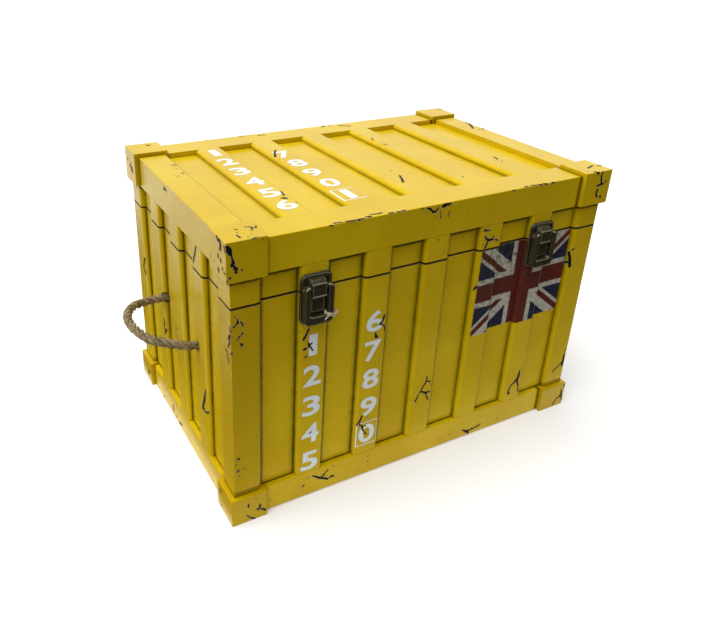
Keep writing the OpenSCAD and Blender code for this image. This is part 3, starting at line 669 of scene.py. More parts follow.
def paintMaterial(name, node, flag, seam, glazeAndShadeSides):
    f = Finish(name)
    place = f.place()
    x, y, z = f.parts(place)
    # soft cloudiness and brush marks
    cloud = f.grain(place, 0.012, 3)
    brush = f.grain(f.vector("MULTIPLY", place, (0.35, 0.35, 0.03)), 1.0, 3, 0.6)
    colour = f.blend(f.fade(cloud, 0.35, 0.7), paint["yellow"], paint["light"])
    colour = f.blend(f.fade(brush, 0.55, 0.85) * 0.35, colour, paint["deep"])
    # deeper yellow by piece, painted shade on the front-left corner
    darker = next((share for word, share in paint["darker"].items() if word in node), 0.0)
    colour = f.blend(darker, colour, paint["deep"])
    # glaze and painted shade at the feet of the ribs and under the rails
    if glazeAndShadeSides:
        colour = f.blend(ribGlaze(f, node, glazeAndShadeSides, place), colour, paint["glazeAndShade"])
    # painted shadow round the rope holes
    if node in ("left_ribs", "right_ribs", "left_panel", "right_panel"):
        colour = f.blend(holeRims(f, y, z, place), colour, paint["holeShadow"])
    # painted shade in the creases between pieces
    for crease in creases(f, node, x, y, z, place):
        colour = f.blend(crease, colour, paint["shadeBrown"])
    if flag:
        colour = flagColour(f, colour, x, z, place)
    # the parting line is burnt dark with painted shade in the gap, and has a pale painted highlight along its edge
    burntAndShade = 0.0
    if seam:
        off = (z - chest["seam"]) * seam
        wander = f.grain(place, 0.35, 2) * 0.5
        highlightBand, share = ((2.2, 1.5), 0.75) if seam < 0 else ((1.7, 1.2), 0.25)
        colour = f.blend(f.fade(off + wander, *highlightBand) * share, colour, paint["paleRimAndHighlight"])
        burntAndShade = f.fade(off + wander * 0.6, 1.7, 1.2)
        colour = f.blend(burntAndShade * 0.97, colour, paint["burntAndShade"])
    # small specks
    dots = f.node("ShaderNodeTexVoronoi", {}, {"Vector": place, "Scale": 0.055, "Randomness": 1.0})
    pick = f.parts(dots.outputs["Color"])[0]
    speck = f.fade(Reading(f, dots.outputs["Distance"]) - pick * 0.03, 0.032, 0.012) * f.fade(pick, 0.72, 0.74)
    colour = f.blend(f.fade(speck, 0.12, 0.38) * 0.55, colour, paint["paleRimAndHighlight"])
    lost = f.fade(speck, 0.45, 0.62)
    colour = f.blend(lost, colour, paint["bare"])
    # bare boards inside
    wide, deep, floor, ceiling = chest["room"]
    inside = f.least(wide - f.maths("ABSOLUTE", x), deep - f.maths("ABSOLUTE", y), z - floor, ceiling - z)
    inside = f.fade(inside, 0.8, 1.1)
    colour = f.blend(inside, colour, f.blend(f.grain(place, 0.9, 4), *paint["board"]))
    rough = 0.22 + f.grain(place, 0.03, 2) * 0.12 + f.most(lost, inside, burntAndShade) * 0.45
    peel = f.grain(place, 0.45, 3) * 0.25 - lost * 1.0 + brush * 0.15
    return f.surface(colour, rough, peel, 0.00022, paint["shine"])


def ribGlaze(f, node, sides, place):
    # dark glaze and painted shade where a recess meets its ribs and rails
    x, y, z = f.parts(place)
    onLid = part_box(node)[0].z / mm > 255
    wide, deep = chest["recess"]
    glazeAndShade = None
    for side in sides:
        across, depth, ends = {
            "front": (x, -deep - y, z), "back": (x, y - deep, z), "left": (y, -wide - x, z),
            "right": (y, x - wide, z), "top": (x, z - chest["boardTop"], y)}[side]
        onEnd = side in ("left", "right")
        pitch = ribs["end" if onEnd else "long"]
        local = (f.maths("FRACT", across / pitch + 0.5) - 0.5) * pitch
        fromRib = f.most(f.maths("ABSOLUTE", local) - ribs["half"], 0.0)
        if side == "top":
            fromEnd = chest["topEnd"] - f.maths("ABSOLUTE", ends)
        elif onLid:
            fromEnd = chest["railLow"] - ends
        else:
            fromEnd = ends - chest["footHigh"]
        up = f.most(depth, 0.0)
        reach = chest["recessEnd"][1 if onEnd else 0]
        within = f.fade(depth, -1.0, -0.3) * f.fade(f.maths("ABSOLUTE", across), reach, reach - 1.0)
        spread = f.grain(place, 0.08, 3)
        nearRib = fromRib + up * 1.1
        nearEnd = f.most(fromEnd, 0.0) + up * 1.1
        left = f.fade(local, 4.0, -4.0)
        core, soft = left * -1.5 + 4.9, left * 3.0 + 7.0  # a broad dark line of glaze and painted shade on one side of a rib, soft on the other
        strong = f.fade(f.grain(place, 0.006, 2), 0.36, 0.64) * 0.20 + 0.30
        if side == "front":  # painted shade, stronger towards the left
            strong = f.fade(x, 20.0, -160.0) * 0.22 + f.grain(place, 0.02, 2) * 0.2 + 0.14
        line = f.fade(nearRib + spread * 2.4, core + 1.4, core - 1.6) * strong
        line = line + f.fade(nearRib + spread * 5.0, soft + 1.5, 1.0) * 0.40
        # the shade under the lid's rails is deeper than the one above the foot
        fall, strength, far = ((8.6, 5.4), 0.86, 13.0) if onLid and side != "top" else ((4.2, 1.6), 0.62, 10.0)
        line = f.most(line, f.fade(nearEnd + spread * 2.2, *fall) * strength
                      + f.fade(nearEnd + spread * 5.0, far, 1.5) * 0.40)
        line = line * f.fade(up, *((3.4, 0.8) if onEnd else (5.4, 2.8))) * within * (0.55 if side == "top" else 1.0)
        glazeAndShade = line if glazeAndShade is None else f.most(glazeAndShade, line)
    return f.least(glazeAndShade, 0.92)


def holeRims(f, y, z, place):
    # painted shadow round the rope holes, dark red-brown
    rims = []
    for hole in (-1, 1):
        dy, dz = y - (handle["middle"] + hole * handle["half"]), z - handle["height"]
        off = f.maths("SQRT", dy * dy + dz * dz) + f.grain(place, 0.3, 2) * 1.6
        rims.append(f.fade(off, 8.4, 7.0))
    return f.most(*rims) * 0.85


def creases(f, node, x, y, z, place):
    # painted shade: dark lines where a flat face runs on under or against the next piece
    soft = f.grain(place, 0.1, 3) * 2.2
    result = []
    if node == "lid_post_ends":
        result.append(f.fade(chest["railLow"] - z + soft, 7.4, 5.2) * 0.85)
    if "_ribs" in node and node != "lid_ribs":
        level = chest["railLow" if node.startswith("lid") else "footHigh"]
        result.append(f.fade(f.maths("ABSOLUTE", z - level) + soft * 0.2, 1.0, 0.4) * 0.55)
    if "_rail" in node:
        long = "front" in node or "back" in node
        across, half = (x if long else y), chest["railEnd"][0 if long else 1]
        result.append(f.fade(half - across + soft, 7.5, 4.6) * 0.8)
        result.append(f.fade(half + across + soft, 6.0, 3.0) * 0.35)
        if node == "lid_left_rail":
            result.append(f.fade(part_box(node)[1].x / mm - x, 1.0, 0.4) * 0.6)
        if "bottom" in node:
            result.append(f.fade(z + soft * 0.5, 1.9, 0.7) * 0.5)
    if node.endswith("post"):
        result.append(f.fade(z - chest["footHigh"] + soft, 8.6, 7.0) * 0.5)
    return result


flagLook = {
    "left": 62.5, "right": 203.0, "low": 150.5, "top": 262.0, "middle": (133.0, 204.8),
    "bar": 11.2, "rim": 6.5, "arm": 11.0, "redArm": 3.6, "redShift": 3.4,
    "red": (0.125, 0.014, 0.015), "blue": (0.011, 0.017, 0.058), "white": (0.53, 0.51, 0.43),
    "grime": (0.060, 0.050, 0.026), "rubbed": (0.35, 0.33, 0.29),
}


def flagColour(f, colour, x, z, place):
    k = flagLook
    wide, tall = (k["right"] - k["left"]) / 2, (k["top"] - k["low"]) / 2
    u, v = x - k["middle"][0], z - k["middle"][1]
    # distance from each diagonal, across it
    diagonal = math.hypot(wide, tall)
    first = (u * tall - v * wide) / diagonal  # the line that rises to the right
    second = (u * tall + v * wide) / diagonal
    wobble = f.grain(place, 0.15, 3) * 1.2 - 0.6
    whiteArms = f.most(*(f.fade(f.maths("ABSOLUTE", off) + wobble, k["arm"], k["arm"] - 0.6)
                         for off in (first, second)))
    # the red of each arm lies off its middle, to one side in the left half and to the other in the right
    turned = f.fade(u, -0.2, 0.2) * 2.0 - 1.0
    redArms = f.most(*(f.fade(f.maths("ABSOLUTE", off - turned * k["redShift"]) + wobble * 0.5,
                              k["redArm"], k["redArm"] - 0.5) for off in (first, second)))
    out = f.blend(whiteArms, k["blue"], k["white"])
    out = f.blend(redArms, out, k["red"])
    near = f.least(f.maths("ABSOLUTE", u) + wobble * 0.5, f.maths("ABSOLUTE", v) + wobble * 0.5)
    rim = k["bar"] + k["rim"]
    out = f.blend(f.fade(near, rim + 0.3, rim - 0.3), out, k["white"])
    out = f.blend(f.fade(near, k["bar"] + 0.3, k["bar"] - 0.3), out, k["red"])
    # grime, most in the upper left, and rubbed places
    dirt = f.grain(place, 0.22, 5, 0.75)
    scratch = f.grain(f.vector("MULTIPLY", place, (0.9, 0.9, 0.12)), 1.0, 3, 0.6)
    worn = f.fade(u * 0.6 - v, 10.0, -45.0) * 0.5 + 0.5
    out = f.blend(f.fade(dirt, 0.42, 0.62) * 0.75 * worn, out, k["grime"])
    out = f.blend(f.fade(scratch, 0.6, 0.8) * 0.4, out, k["rubbed"])
    ragged = f.grain(place, 0.35, 3) * 1.6 - 0.8
    inside = f.least(x - k["left"] + ragged, k["right"] - x + ragged + 1.0, z - k["low"] + ragged, k["top"] - z)
    return f.blend(f.fade(inside, -0.3, 0.3), colour, out)


# every wooden piece: its body and the sides on which glaze and painted shade lie
walls = ("front", "back", "left", "right")
corners = ("front_left", "front_right", "back_left", "back_right")
woodPieces = {
    **{wall + "_panel": ("base", [wall]) for wall in walls}, "floor_panel": ("base", []),
    **{wall + "_ribs": ("base", [wall]) for wall in walls},
    **{corner + "_post": ("base", corner.split("_")) for corner in corners},
    **{wall + "_bottom_rail": ("base", []) for wall in walls},
    **{corner + "_foot": ("base", []) for corner in corners},
    "lid_panel": ("lid", ["top"]), **{"lid_" + wall + "_panel": ("lid", [wall]) for wall in walls},
    "lid_ribs": ("lid", ["top"]), **{"lid_" + wall + "_ribs": ("lid", [wall]) for wall in walls},
    "lid_post_ends": ("lid", []), **{"lid_" + wall + "_rail": ("lid", []) for wall in walls},
    **{corner + "_cap": ("lid", []) for corner in corners},
}


# chips lie a little above the paint, and those on the left end are drawn wider
chipLook = {"step": 0.5, "rim": 0.34, "above": 0.2, "ragged": 0.85, "wider": {"left": 1.7}}


def strayChips():
    # the sides that the photograph doesn't show get chips of the same kind: cracks, flakes and specks
    dice = random.Random(5)
    spots = [("back_left_post", "back"), ("back_right_post", "back"), ("back_bottom_rail", "back"),
             ("lid_back_rail", "back"), ("right_bottom_rail", "right"), ("lid_right_rail", "right")] * 2
    spots += [(a + b, side) for a, side in (("back_left_", "back"), ("back_right_", "back"), ("back_left_", "left"),
                                            ("back_right_", "right"), ("front_right_", "right"))
              for b in ("cap", "foot")]
    spots += [("back_ribs", "back")] * 7 + [("right_ribs", "right")] * 4 + [("lid_back_ribs", "back")] * 3
    spots += [("back_right_post", "right"), ("front_right_post", "right"), ("lid_right_ribs", "right")] * 2
    for node, side in spots:
        low, high = [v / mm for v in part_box(node)]
        axis = faceAxis[side][0]
        first, second = [n for n in (0, 1, 2) if n != axis]
        u = dice.uniform(low[first] + 5, high[first] - 5)
        if "ribs" in node:
            pitch, count = (ribs["long"], 2) if side == "back" else (ribs["end"], 1)
            u = pitch * dice.randint(-count, count) + dice.uniform(-9, 9)
        v = dice.uniform(low[second] + 4, high[second] - 4)
        size, heading = dice.uniform(0.5, 1.3), dice.uniform(0, math.pi)
        crack = dice.random() < 0.6
        line = []
        for k in range(dice.randint(2, 4)):
            line.append((round(u, 1), round(v, 1), round(size * dice.uniform(0.4, 1.2) * (0.8 if crack else 1.5), 2)))
            heading += dice.uniform(-0.7, 0.7)
            reach = dice.uniform(4, 9) if crack else dice.uniform(2, 4)
            u, v = u + reach * math.cos(heading), v + reach * math.sin(heading)
        lines = chips.setdefault(node, {}).setdefault(side, [])
        lines.append(line)
        if crack:
            u, v, size = line[1 if len(line) > 2 else 0]
            lines.append([(u, v, size), (u + dice.uniform(-6, 6), v + dice.uniform(-6, 6), size * 0.4)])
        for k in range(dice.randint(1, 4)):
            lines.append([(u + dice.uniform(-9, 9), v + dice.uniform(-9, 9), dice.uniform(0.25, 0.8))])


def chipValues(lines, wider):
    # on a fine grid, the distance to the nearest broken line, less its half width, with a ragged edge
    step, reach, values = chipLook["step"], 2.2, {}
    for line in lines:
        for (ax, ay, aw), (bx, by, bw) in zip(line, line[1:] if len(line) > 1 else line):
            far = max(aw, bw) + reach
            lengthSquared = (bx - ax) ** 2 + (by - ay) ** 2
            for i in range(math.floor((min(ax, bx) - far) / step), math.ceil((max(ax, bx) + far) / step) + 1):
                for j in range(math.floor((min(ay, by) - far) / step), math.ceil((max(ay, by) + far) / step) + 1):
                    x, y = i * step, j * step
                    share = ((x - ax) * (bx - ax) + (y - ay) * (by - ay)) / lengthSquared if lengthSquared else 0
                    share = min(1, max(0, share))
                    off = math.hypot(x - ax - share * (bx - ax), y - ay - share * (by - ay))
                    off -= (aw + share * (bw - aw)) * wider + 0.24
                    values[i, j] = min(values.get((i, j), 9.0), off)
    for (i, j), off in values.items():
        at = Vector((i * step, j * step, 3.7))
        values[i, j] = off + chipLook["ragged"] * (noise.noise(at * 0.5) + 0.9 * noise.noise(at * 1.1))
    return values


def chipFaces(whole, depthLayer, node, side, lines, surface):
    # the part of the grid inside the rim, laid on the piece's own surface and folded round its edges
    axis, top = faceAxis[side]
    low, high = [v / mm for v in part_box(node)]
    level, outward = (high, -1) if top else (low, 1)
    first, second = [n for n in (0, 1, 2) if n != axis]
    step, rim, values, made = chipLook["step"], chipLook["rim"], chipValues(lines, chipLook["wider"].get(side, 1.0)), {}

    def corner(key, u, v, off):
        if key in made:
            return made[key]
        point, sunk = [0.0, 0.0, 0.0], 0.0
        for n, value in ((first, u), (second, v)):
            point[n] = min(high[n], max(low[n], value))
            sunk += abs(value - point[n])
        point[axis] = level[axis] + outward * sunk
        near, normal, _, _ = surface.find_nearest(Vector(point) * mm)
        vertex = whole.verts.new(near + normal * chipLook["above"] * mm)
        vertex[depthLayer] = off
        made[key] = vertex
        return vertex

    for i, j in list(values):
        ring = []
        around = ((i, j), (i + 1, j), (i + 1, j + 1), (i, j + 1))
        for a, b in zip(around, around[1:] + around[:1]):
            va, vb = values.get(a, 9.0), values.get(b, 9.0)
            if va < rim:
                ring.append(corner(a, a[0] * step, a[1] * step, va))
            if (va < rim) != (vb < rim):
                share = (rim - va) / (vb - va)
                ring.append(corner((min(a, b), max(a, b)), (a[0] + share * (b[0] - a[0])) * step,
                                   (a[1] + share * (b[1] - a[1])) * step, rim))
        if len(ring) > 2:
            whole.faces.new(ring)


def chipMaterial():
    f = Finish("chippedPaint")
    place = f.place()
    off = Reading(f, f.node("ShaderNodeAttribute", {"attribute_name": "off"}).outputs["Fac"])
    primer = f.blend(f.grain(place, 0.8, 4, 0.7), paint["bare"], (0.026, 0.014, 0.008))
    colour = f.blend(f.fade(off, -0.06, 0.16), primer, paint["paleRimAndHighlight"])
    return f.surface(colour, 0.62, f.fade(off, -0.3, 0.2) * 1.0 + f.grain(place, 1.2, 3) * 0.3, 0.0002,
                     {"Specular IOR Level": 0.12})


def layChips(surfaces):
    strayChips()
    material = chipMaterial()
    for body in ("base", "lid"):
        whole = bmesh.new()
        depthLayer = whole.verts.layers.float.new("off")
        for node, sides in chips.items():
            if woodPieces[node][0] == body:
                for side, lines in sides.items():
                    chipFaces(whole, depthLayer, node, side, lines, surfaces[node])
        for face in whole.faces:
            face.normal_update()
            axis = max(range(3), key=lambda n: abs(face.normal[n]))
            centre = face.calc_center_median()
            if face.normal[axis] * (centre[axis] - (0.19 if axis == 2 else 0.0)) < 0:
                face.normal_flip()
            face.smooth = True
        mesh = bpy.data.meshes.new(body + "Chips")
        whole.to_mesh(mesh)
        whole.free()
        addPiece(body + "Chips", mesh, body, material)


# planes where edges aren't eased: axis and place in millimetres
flushPlanes = [(2, 290.0), (1, -119.0), (1, 119.0), (0, -203.0), (0, 203.0)]


def dressWood():
    surfaces = {}
    for node, (body, sides) in woodPieces.items():
        low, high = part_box(node)
        seam = -1 if abs(high.z / mm - chest["baseTop"]) < 0.1 else 1 if abs(low.z / mm - chest["lidLow"]) < 0.1 else 0
        board = "panel" in node
        mesh = finishedCopy(node, 0.25 if board else 0.45, flushPlanes)
        material = paintMaterial(node + "Paint", node, node in ("front_panel", "front_ribs"), seam, sides)
        surfaces[node] = BVHTree.FromPolygons([v.co for v in mesh.vertices], [list(p.vertices) for p in mesh.polygons])
        piece = addPiece(node + ".dressed", mesh, body, material, [node])
        evenNormals(piece)
    layChips(surfaces)


dressWood()
print("wood is painted")


# plain figures on the front and on the lid, in millimetres
figures = {
    "front": [(-146.33, [("1", 198.6), ("2", 161.6), ("3", 123.6), ("4", 87.4), ("5", 50.0)]),
              (-73.17, [("6", 207.0), ("7", 170.6), ("8", 135.0), ("9", 98.0), ("0", 61.0)])],
    "lid": [(-146.33, [("1", 98.0), ("2", 60.0), ("3", 22.5), ("4", -15.5), ("5", -53.5), ("6", -91.0)]),
            (-73.17, [("7", 58.7), ("8", 22.5), ("9", -15.0), ("0", -52.5), ("1", -91.0)])],
    "height": 25.0, "wide": 21.0, "narrow": 9.5, "bold": 0.024, "above": 0.12,
    "boxWidth": 28.0, "boxHeight": 32.0, "boxLine": 1.2,
}


def digitMesh(character):
    text = bpy.data.curves.new("digit", "FONT")
    text.body = "6" if character == "9" else character
    text.offset = figures["bold"]
    text.resolution_u = 6
    holder = bpy.data.objects.new("digit", text)
    mesh = bpy.data.meshes.new_from_object(holder)
    bpy.data.objects.remove(holder)
    bm = bmesh.new()
    bm.from_mesh(mesh)
    bpy.data.meshes.remove(mesh)
    xs = [v.co.x for v in bm.verts]
    ys = [v.co.y for v in bm.verts]
    turned = -1 if character == "9" else 1
    tall = turned * figures["height"] / (max(ys) - min(ys))
    wide = turned * (figures["narrow"] if character == "1" else figures["wide"]) / (max(xs) - min(xs))
    for v in bm.verts:
        v.co.x = (v.co.x - (min(xs) + max(xs)) / 2) * wide
        v.co.y = (v.co.y - (min(ys) + max(ys)) / 2) * tall
    return bm


def frameMesh():
    # a thin box line round the last figure, in short pieces that follow the rib's rounded edges
    bm = bmesh.new()
    w, h, t = figures["boxWidth"] / 2, figures["boxHeight"] / 2, figures["boxLine"]
    for x0, x1, y0, y1 in ((-w, w, h - t, h), (-w, w, -h, t - h), (-w, t - w, t - h, h - t), (w - t, w, t - h, h - t)):
        steps = 24 if x1 - x0 > t else 1
        for n in range(steps):
            a, b = x0 + (x1 - x0) * n / steps, x0 + (x1 - x0) * (n + 1) / steps
            bm.faces.new([bm.verts.new(p) for p in ((a, y0, 0), (b, y0, 0), (b, y1, 0), (a, y1, 0))])
    return bm


def ribDrop(across):
    # how far a rib's rounded edge lies below its face
    inward, turn = ribs["half"] - abs(across), ribs["round"]
    return 0.0 if inward >= turn else turn - math.sqrt(max(0.0, turn ** 2 - (turn - max(inward, 0)) ** 2))


def layFigures(side, body, material):
    whole = bmesh.new()
    for centre, column in figures[side]:
        for n, (character, place) in enumerate(column):
            shapes = [digitMesh(character)]
            if centre > -100 and n == len(column) - 1:
                shapes.append(frameMesh())
            for bm in shapes:
                for v in bm.verts:
                    across, up = v.co.x, v.co.y
                    drop = ribDrop(across)
                    if side == "front":
                        v.co = Vector((centre + across, -chest["face"][1] - figures["above"] + drop, place + up)) * mm
                    else:
                        v.co = Vector((centre + across, place + up, chest["ribTop"] + figures["above"] - drop)) * mm
                mesh = bpy.data.meshes.new("figure")
                bm.to_mesh(mesh)
                bm.free()
                whole.from_mesh(mesh)
                bpy.data.meshes.remove(mesh)
    outward = Vector((0, -1, 0)) if side == "front" else Vector((0, 0, 1))
    bmesh.ops.recalc_face_normals(whole, faces=whole.faces)
    for face in whole.faces:
        if face.normal.dot(outward) < 0:
            face.normal_flip()
    mesh = bpy.data.meshes.new(side + "Figures")
    whole.to_mesh(mesh)
    whole.free()
    addPiece(side + "Figures", mesh, body, material)


def figureMaterial():
    f = Finish("figurePaint")
    place = f.place()
    colour = f.blend(f.grain(place, 0.25, 4), (0.72, 0.80, 0.82), (0.90, 0.93, 0.92))
    colour = f.blend(f.fade(f.grain(place, 0.6, 4, 0.7), 0.58, 0.78) * 0.5, colour, (0.40, 0.38, 0.20))
    return f.surface(colour, 0.35, f.grain(place, 0.5, 2), 0.0001, {"IOR": 1.45})


figurePaint = figureMaterial()
layFigures("front", "base", figurePaint)
layFigures("lid", "lid", figurePaint)
print("figures are laid")


# colours of the metal from dark to light, and the colour of the lines where it is rubbed bright and carries a painted
# highlight
metals = {
    "bronze": ((0.050, 0.043, 0.016), (0.095, 0.082, 0.034)),
    "rubbedBronze": ((0.34, 0.30, 0.19), (0.62, 0.56, 0.42)),
    "dimBronze": ((0.10, 0.09, 0.045), (0.20, 0.175, 0.10)),
    "wornSteel": ((0.20, 0.18, 0.14), (0.42, 0.39, 0.32)),
    "darkScrew": ((0.022, 0.020, 0.012), (0.055, 0.050, 0.032)),
    "line": (0.60, 0.54, 0.40),
    "latch": 146.33,  # how far each latch stands from the middle
}


def metalMaterial(name, kind, rough, metallic=0.5, centre=None, lines=()):
    # each line: half width, low, high, corner, inset, width, strength, reach
    f = Finish(name)
    place = f.place()
    x, y, z = f.parts(place)
    cloud = f.grain(place, 0.5, 4, 0.6)
    colour = f.blend(f.fade(cloud, 0.3, 0.75), *metals[kind])
    height = f.grain(place, 1.6, 3) * 0.25
    wear = f.fade(f.grain(place, 0.35, 3, 0.6), 0.30, 0.62) * 0.45 + 0.55
    for halfWidth, low, high, corner, inset, width, strength, (zLow, zHigh) in lines:
        acrossCorner = f.maths("ABSOLUTE", x - centre) - (halfWidth - corner)
        alongCorner = f.maths("ABSOLUTE", z - (low + high) / 2) - ((high - low) / 2 - corner)
        outX, outZ = f.most(acrossCorner, 0.0), f.most(alongCorner, 0.0)
        off = f.maths("SQRT", outX * outX + outZ * outZ) + f.least(f.most(acrossCorner, alongCorner), 0.0) - corner
        line = f.fade(f.maths("ABSOLUTE", off + inset), width * 0.75, width * 0.30)
        line = line * f.fade(z, zLow - 0.6, zLow + 0.6) * f.fade(z, zHigh + 0.6, zHigh - 0.6) * strength
        # rubbed metal with a painted highlight along each line
        colour = f.blend(line * wear, colour, metals["line"])
        height = height + line * 1.4
    return f.surface(colour, rough + f.grain(place, 1.2, 3) * 0.18, height, 0.0003, {"Metallic": metallic})


bronze = metalMaterial("bronze", "bronze", 0.30)
rubbedBronze = metalMaterial("rubbedBronze", "rubbedBronze", 0.28)
dimBronze = metalMaterial("dimBronze", "dimBronze", 0.28)
steel = metalMaterial("wornSteel", "wornSteel", 0.30, 0.9)
darkScrew = metalMaterial("darkScrew", "darkScrew", 0.32)

# the bright lines on each part of a latch: rubbed metal with a painted highlight, strongest along the upward edges
latchRubAndHighlights = {
    "base": [(17.5, 226, 300, 7, 1.3, 0.8, 0.55, (220, 262))],
    "catch": [(17.5, 200, 280, 7, 1.9, 1.0, 0.95, (276, 285)), (17.5, 200, 280, 7, 1.9, 0.8, 0.3, (262, 276)),
              (7.4, 240, 277.5, 1, 0.0, 0.9, 0.4, (270, 280))],
    "lever": [(16, 228, 270, 5, 1.3, 1.2, 0.9, (266.5, 272)), (16, 228, 270, 5, 1.0, 0.6, 0.28, (232, 266)),
              (16, 228, 320, 5, 0.9, 0.7, 0.45, (226, 232)), (10, 237, 320, 3, -0.8, 1.0, 0.95, (233, 238.6)),
              (10, 237, 320, 3, -0.7, 0.5, 0.3, (239, 266))],
    "tongue": [(7.6, 240, 300, 2.6, 0.8, 0.75, 0.62, (238, 256)), (7.6, 200, 272, 0.6, 0.7, 0.6, 0.42, (260, 270)),
               (7.6, 200, 272, 0.6, 0.5, 1.1, 1.0, (270.4, 274)), (7.6, 200, 258.9, 0.4, 0.6, 1.3, 1.0, (257.4, 262))],
}

metalPieces = {
    "left_latch_base": ("base", 0.45), "right_latch_base": ("base", 0.45),
    "left_latch_catch": ("lid", 0.45), "right_latch_catch": ("lid", 0.45),
    "left_latch_lever": ("left_lever", 0.8), "right_latch_lever": ("right_lever", 0.8),
    "left_latch_tongue": ("left_tongue", 0.45), "right_latch_tongue": ("right_tongue", 0.45),
    "left_hinge_base_leaf": ("base", 0.25), "right_hinge_base_leaf": ("base", 0.25),
    "left_hinge_lid_leaf": ("lid", 0.25), "right_hinge_lid_leaf": ("lid", 0.25),
    "latch_pins": ("base", 0.2), "hinge_pins": ("base", 0.2),
    "base_screws": ("base", 0.25), "lid_screws": ("lid", 0.25),
}


def dressMetal():
    for node, (body, edge) in metalPieces.items():
        mesh = finishedCopy(node, edge, edgeSlot=1)
        kind = node.split("_")[-1]
        plainMetal = steel if "pins" in node else darkScrew if "screws" in node else bronze
        if "latch" in node and kind in latchRubAndHighlights:
            centre = metals["latch"] * (-1 if "left" in node else 1)
            plainMetal = metalMaterial(node + "Bronze", "bronze", 0.30, 0.5, centre, latchRubAndHighlights[kind])
        edgeMetal = dimBronze if kind in ("base", "screws") or "hinge" in node else rubbedBronze
        piece = addPiece(node + ".dressed", mesh, body, [plainMetal, edgeMetal], [node])
        evenNormals(piece)


dressMetal()
print("metal is dressed")


# the twine's turn in millimetres from the latch's middle, the front's face and its height: across, out, up
twine = {
    "middle": -146.33, "height": 238.5, "face": 155.0,
    "startTail": [[4.9, 12.6, 1.9], [6.3, 11.6, 1.5], [7.4, 10.0, 0.9], [7.9, 8.1, 0.3]],
    "turn": [[8.3, 5.8, 0], [9.9, 3.6, -0.1], [12.8, 2.8, -0.3], [16.0, 3.0, -0.6], [18.9, 4.2, -1], [20.8, 6.4, -1.5],
             [20.7, 8.8, -2], [18.6, 10.6, -2.3], [15.6, 11.3, -2], [12.6, 11.3, -1.3], [9.9, 10.7, -0.6],
             [8.1, 9.0, 0.0], [7.8, 6.9, 0.2]],
    "endTail": [[9.4, 12.0, -2.7], [7.0, 12.6, -3.5], [5.2, 12.9, -5.0]],
    "knot": (9.4, 11.9, -1.1), "knotRound": 1.25,
    "second": (0.9, 1.9), "plyOut": 0.44, "plyRadius": 0.50, "lay": 4.4, "step": 0.5, "thickness": 0.0018,
}


def twineMaterial():
    f = Finish("twine")
    place = f.place()
    along = f.node("ShaderNodeAttribute", {"attribute_name": "fibreRun"}).outputs["Vector"]
    fibre = f.grain(f.vector("MULTIPLY", along, (1.2, 4.0, 1.0)), 1.0, 3, 0.6)
    tone = f.fade(fibre + f.grain(place, 0.5, 2) * 0.4 - 0.2, 0.3, 0.7)
    colour = f.blend(tone, (0.42, 0.35, 0.21), (0.80, 0.74, 0.58))
    groove = Reading(f, f.node("ShaderNodeAttribute", {"attribute_name": "groove"}).outputs["Fac"])
    # painted shade between the plies
    colour = f.blend(groove, colour, (0.16, 0.11, 0.06))
    return f.surface(colour, 0.85, fibre, 0.0002, {"Specular IOR Level": 0.2})


def twoPly(name, line, dice, hairCount):
    # two plies laid together, with short hairs and a frayed tuft at both ends
    t = twine
    strands = strandPoints(line, 2, t["plyOut"], t["lay"], t["step"])
    mesh = tubesAlong(name, strands, [t["plyRadius"]] * 2, 8)
    markStrands(mesh, strands, 8, [line] * 2, t["plyOut"] + t["plyRadius"])
    hairs, thick = looseFibres(line, hairCount, dice, 0.8, (1.2, 2.0), (1.0, 2.4), 0.06)
    for end, before in ((line[0], line[3]), (line[-1], line[-4])):
        ahead = (end - before).normalized()
        for _ in range(9):
            sway = Vector([dice.uniform(-0.5, 0.5) for _ in range(3)])
            hairs.append([end - ahead * 0.6, end + (ahead + sway * 0.5) * 0.7, end + (ahead + sway) * 1.5])
            thick.append(0.1)
    return joined(mesh, tubesAlong(name + "Hairs", hairs, thick, 4))


def tieTwine():
    t = twine
    first = [Vector(p) for p in t["turn"]]
    low, out = t["second"]
    # the second turn lies lower and a little closer
    second = [p - Vector((0.6 if p.x > 15 else 0, -0.25 if p.y > 8 else 0, out if p.y > 8 else low))
              for p in first[:-2]]
    route = [Vector(p) for p in t["startTail"]] + first + second + [Vector(p) for p in t["endTail"]]
    line = throughPoints([Vector((t["middle"] + p.x, -t["face"] - p.y, t["height"] + p.z)) for p in route], t["step"])
    wound, (x, y, z) = [], t["knot"]
    for n in range(25):
        angle = 2 * math.pi * 2.2 * n / 24
        wide = t["knotRound"] * (0.55 + 0.45 * math.sin(math.pi * n / 24))
        wound.append(Vector((t["middle"] + x + 2.4 * (n / 24 - 0.5), -t["face"] - y - wide * math.cos(angle),
                             t["height"] + z + wide * math.sin(angle))))
    dice, cream = random.Random(8), twineMaterial()
    knotMesh = twoPly("twineKnot", throughPoints(wound, t["step"]), dice, 16)
    knot = addPiece("twineKnot", knotMesh, "left_lever", cream, ())
    piece = addPiece("twineTie", twoPly("twineTie", line, dice, 60), "left_lever", cream, ["latch_twine"])
    length = sum((b - a).length for a, b in zip(line, line[1:])) * mm
    print("twine runs", round(length / mm, 1), "mm")
    path = [list(p * mm) for p in line]


tieTwine()


# each rope end goes through the wall and is wound into a knot behind it
knots = {"wallOut": 235.2, "wallIn": 221.5, "middle": 209.7, "round": 4.6, "half": 4.4, "turns": 1.75, "tail": 15.0}


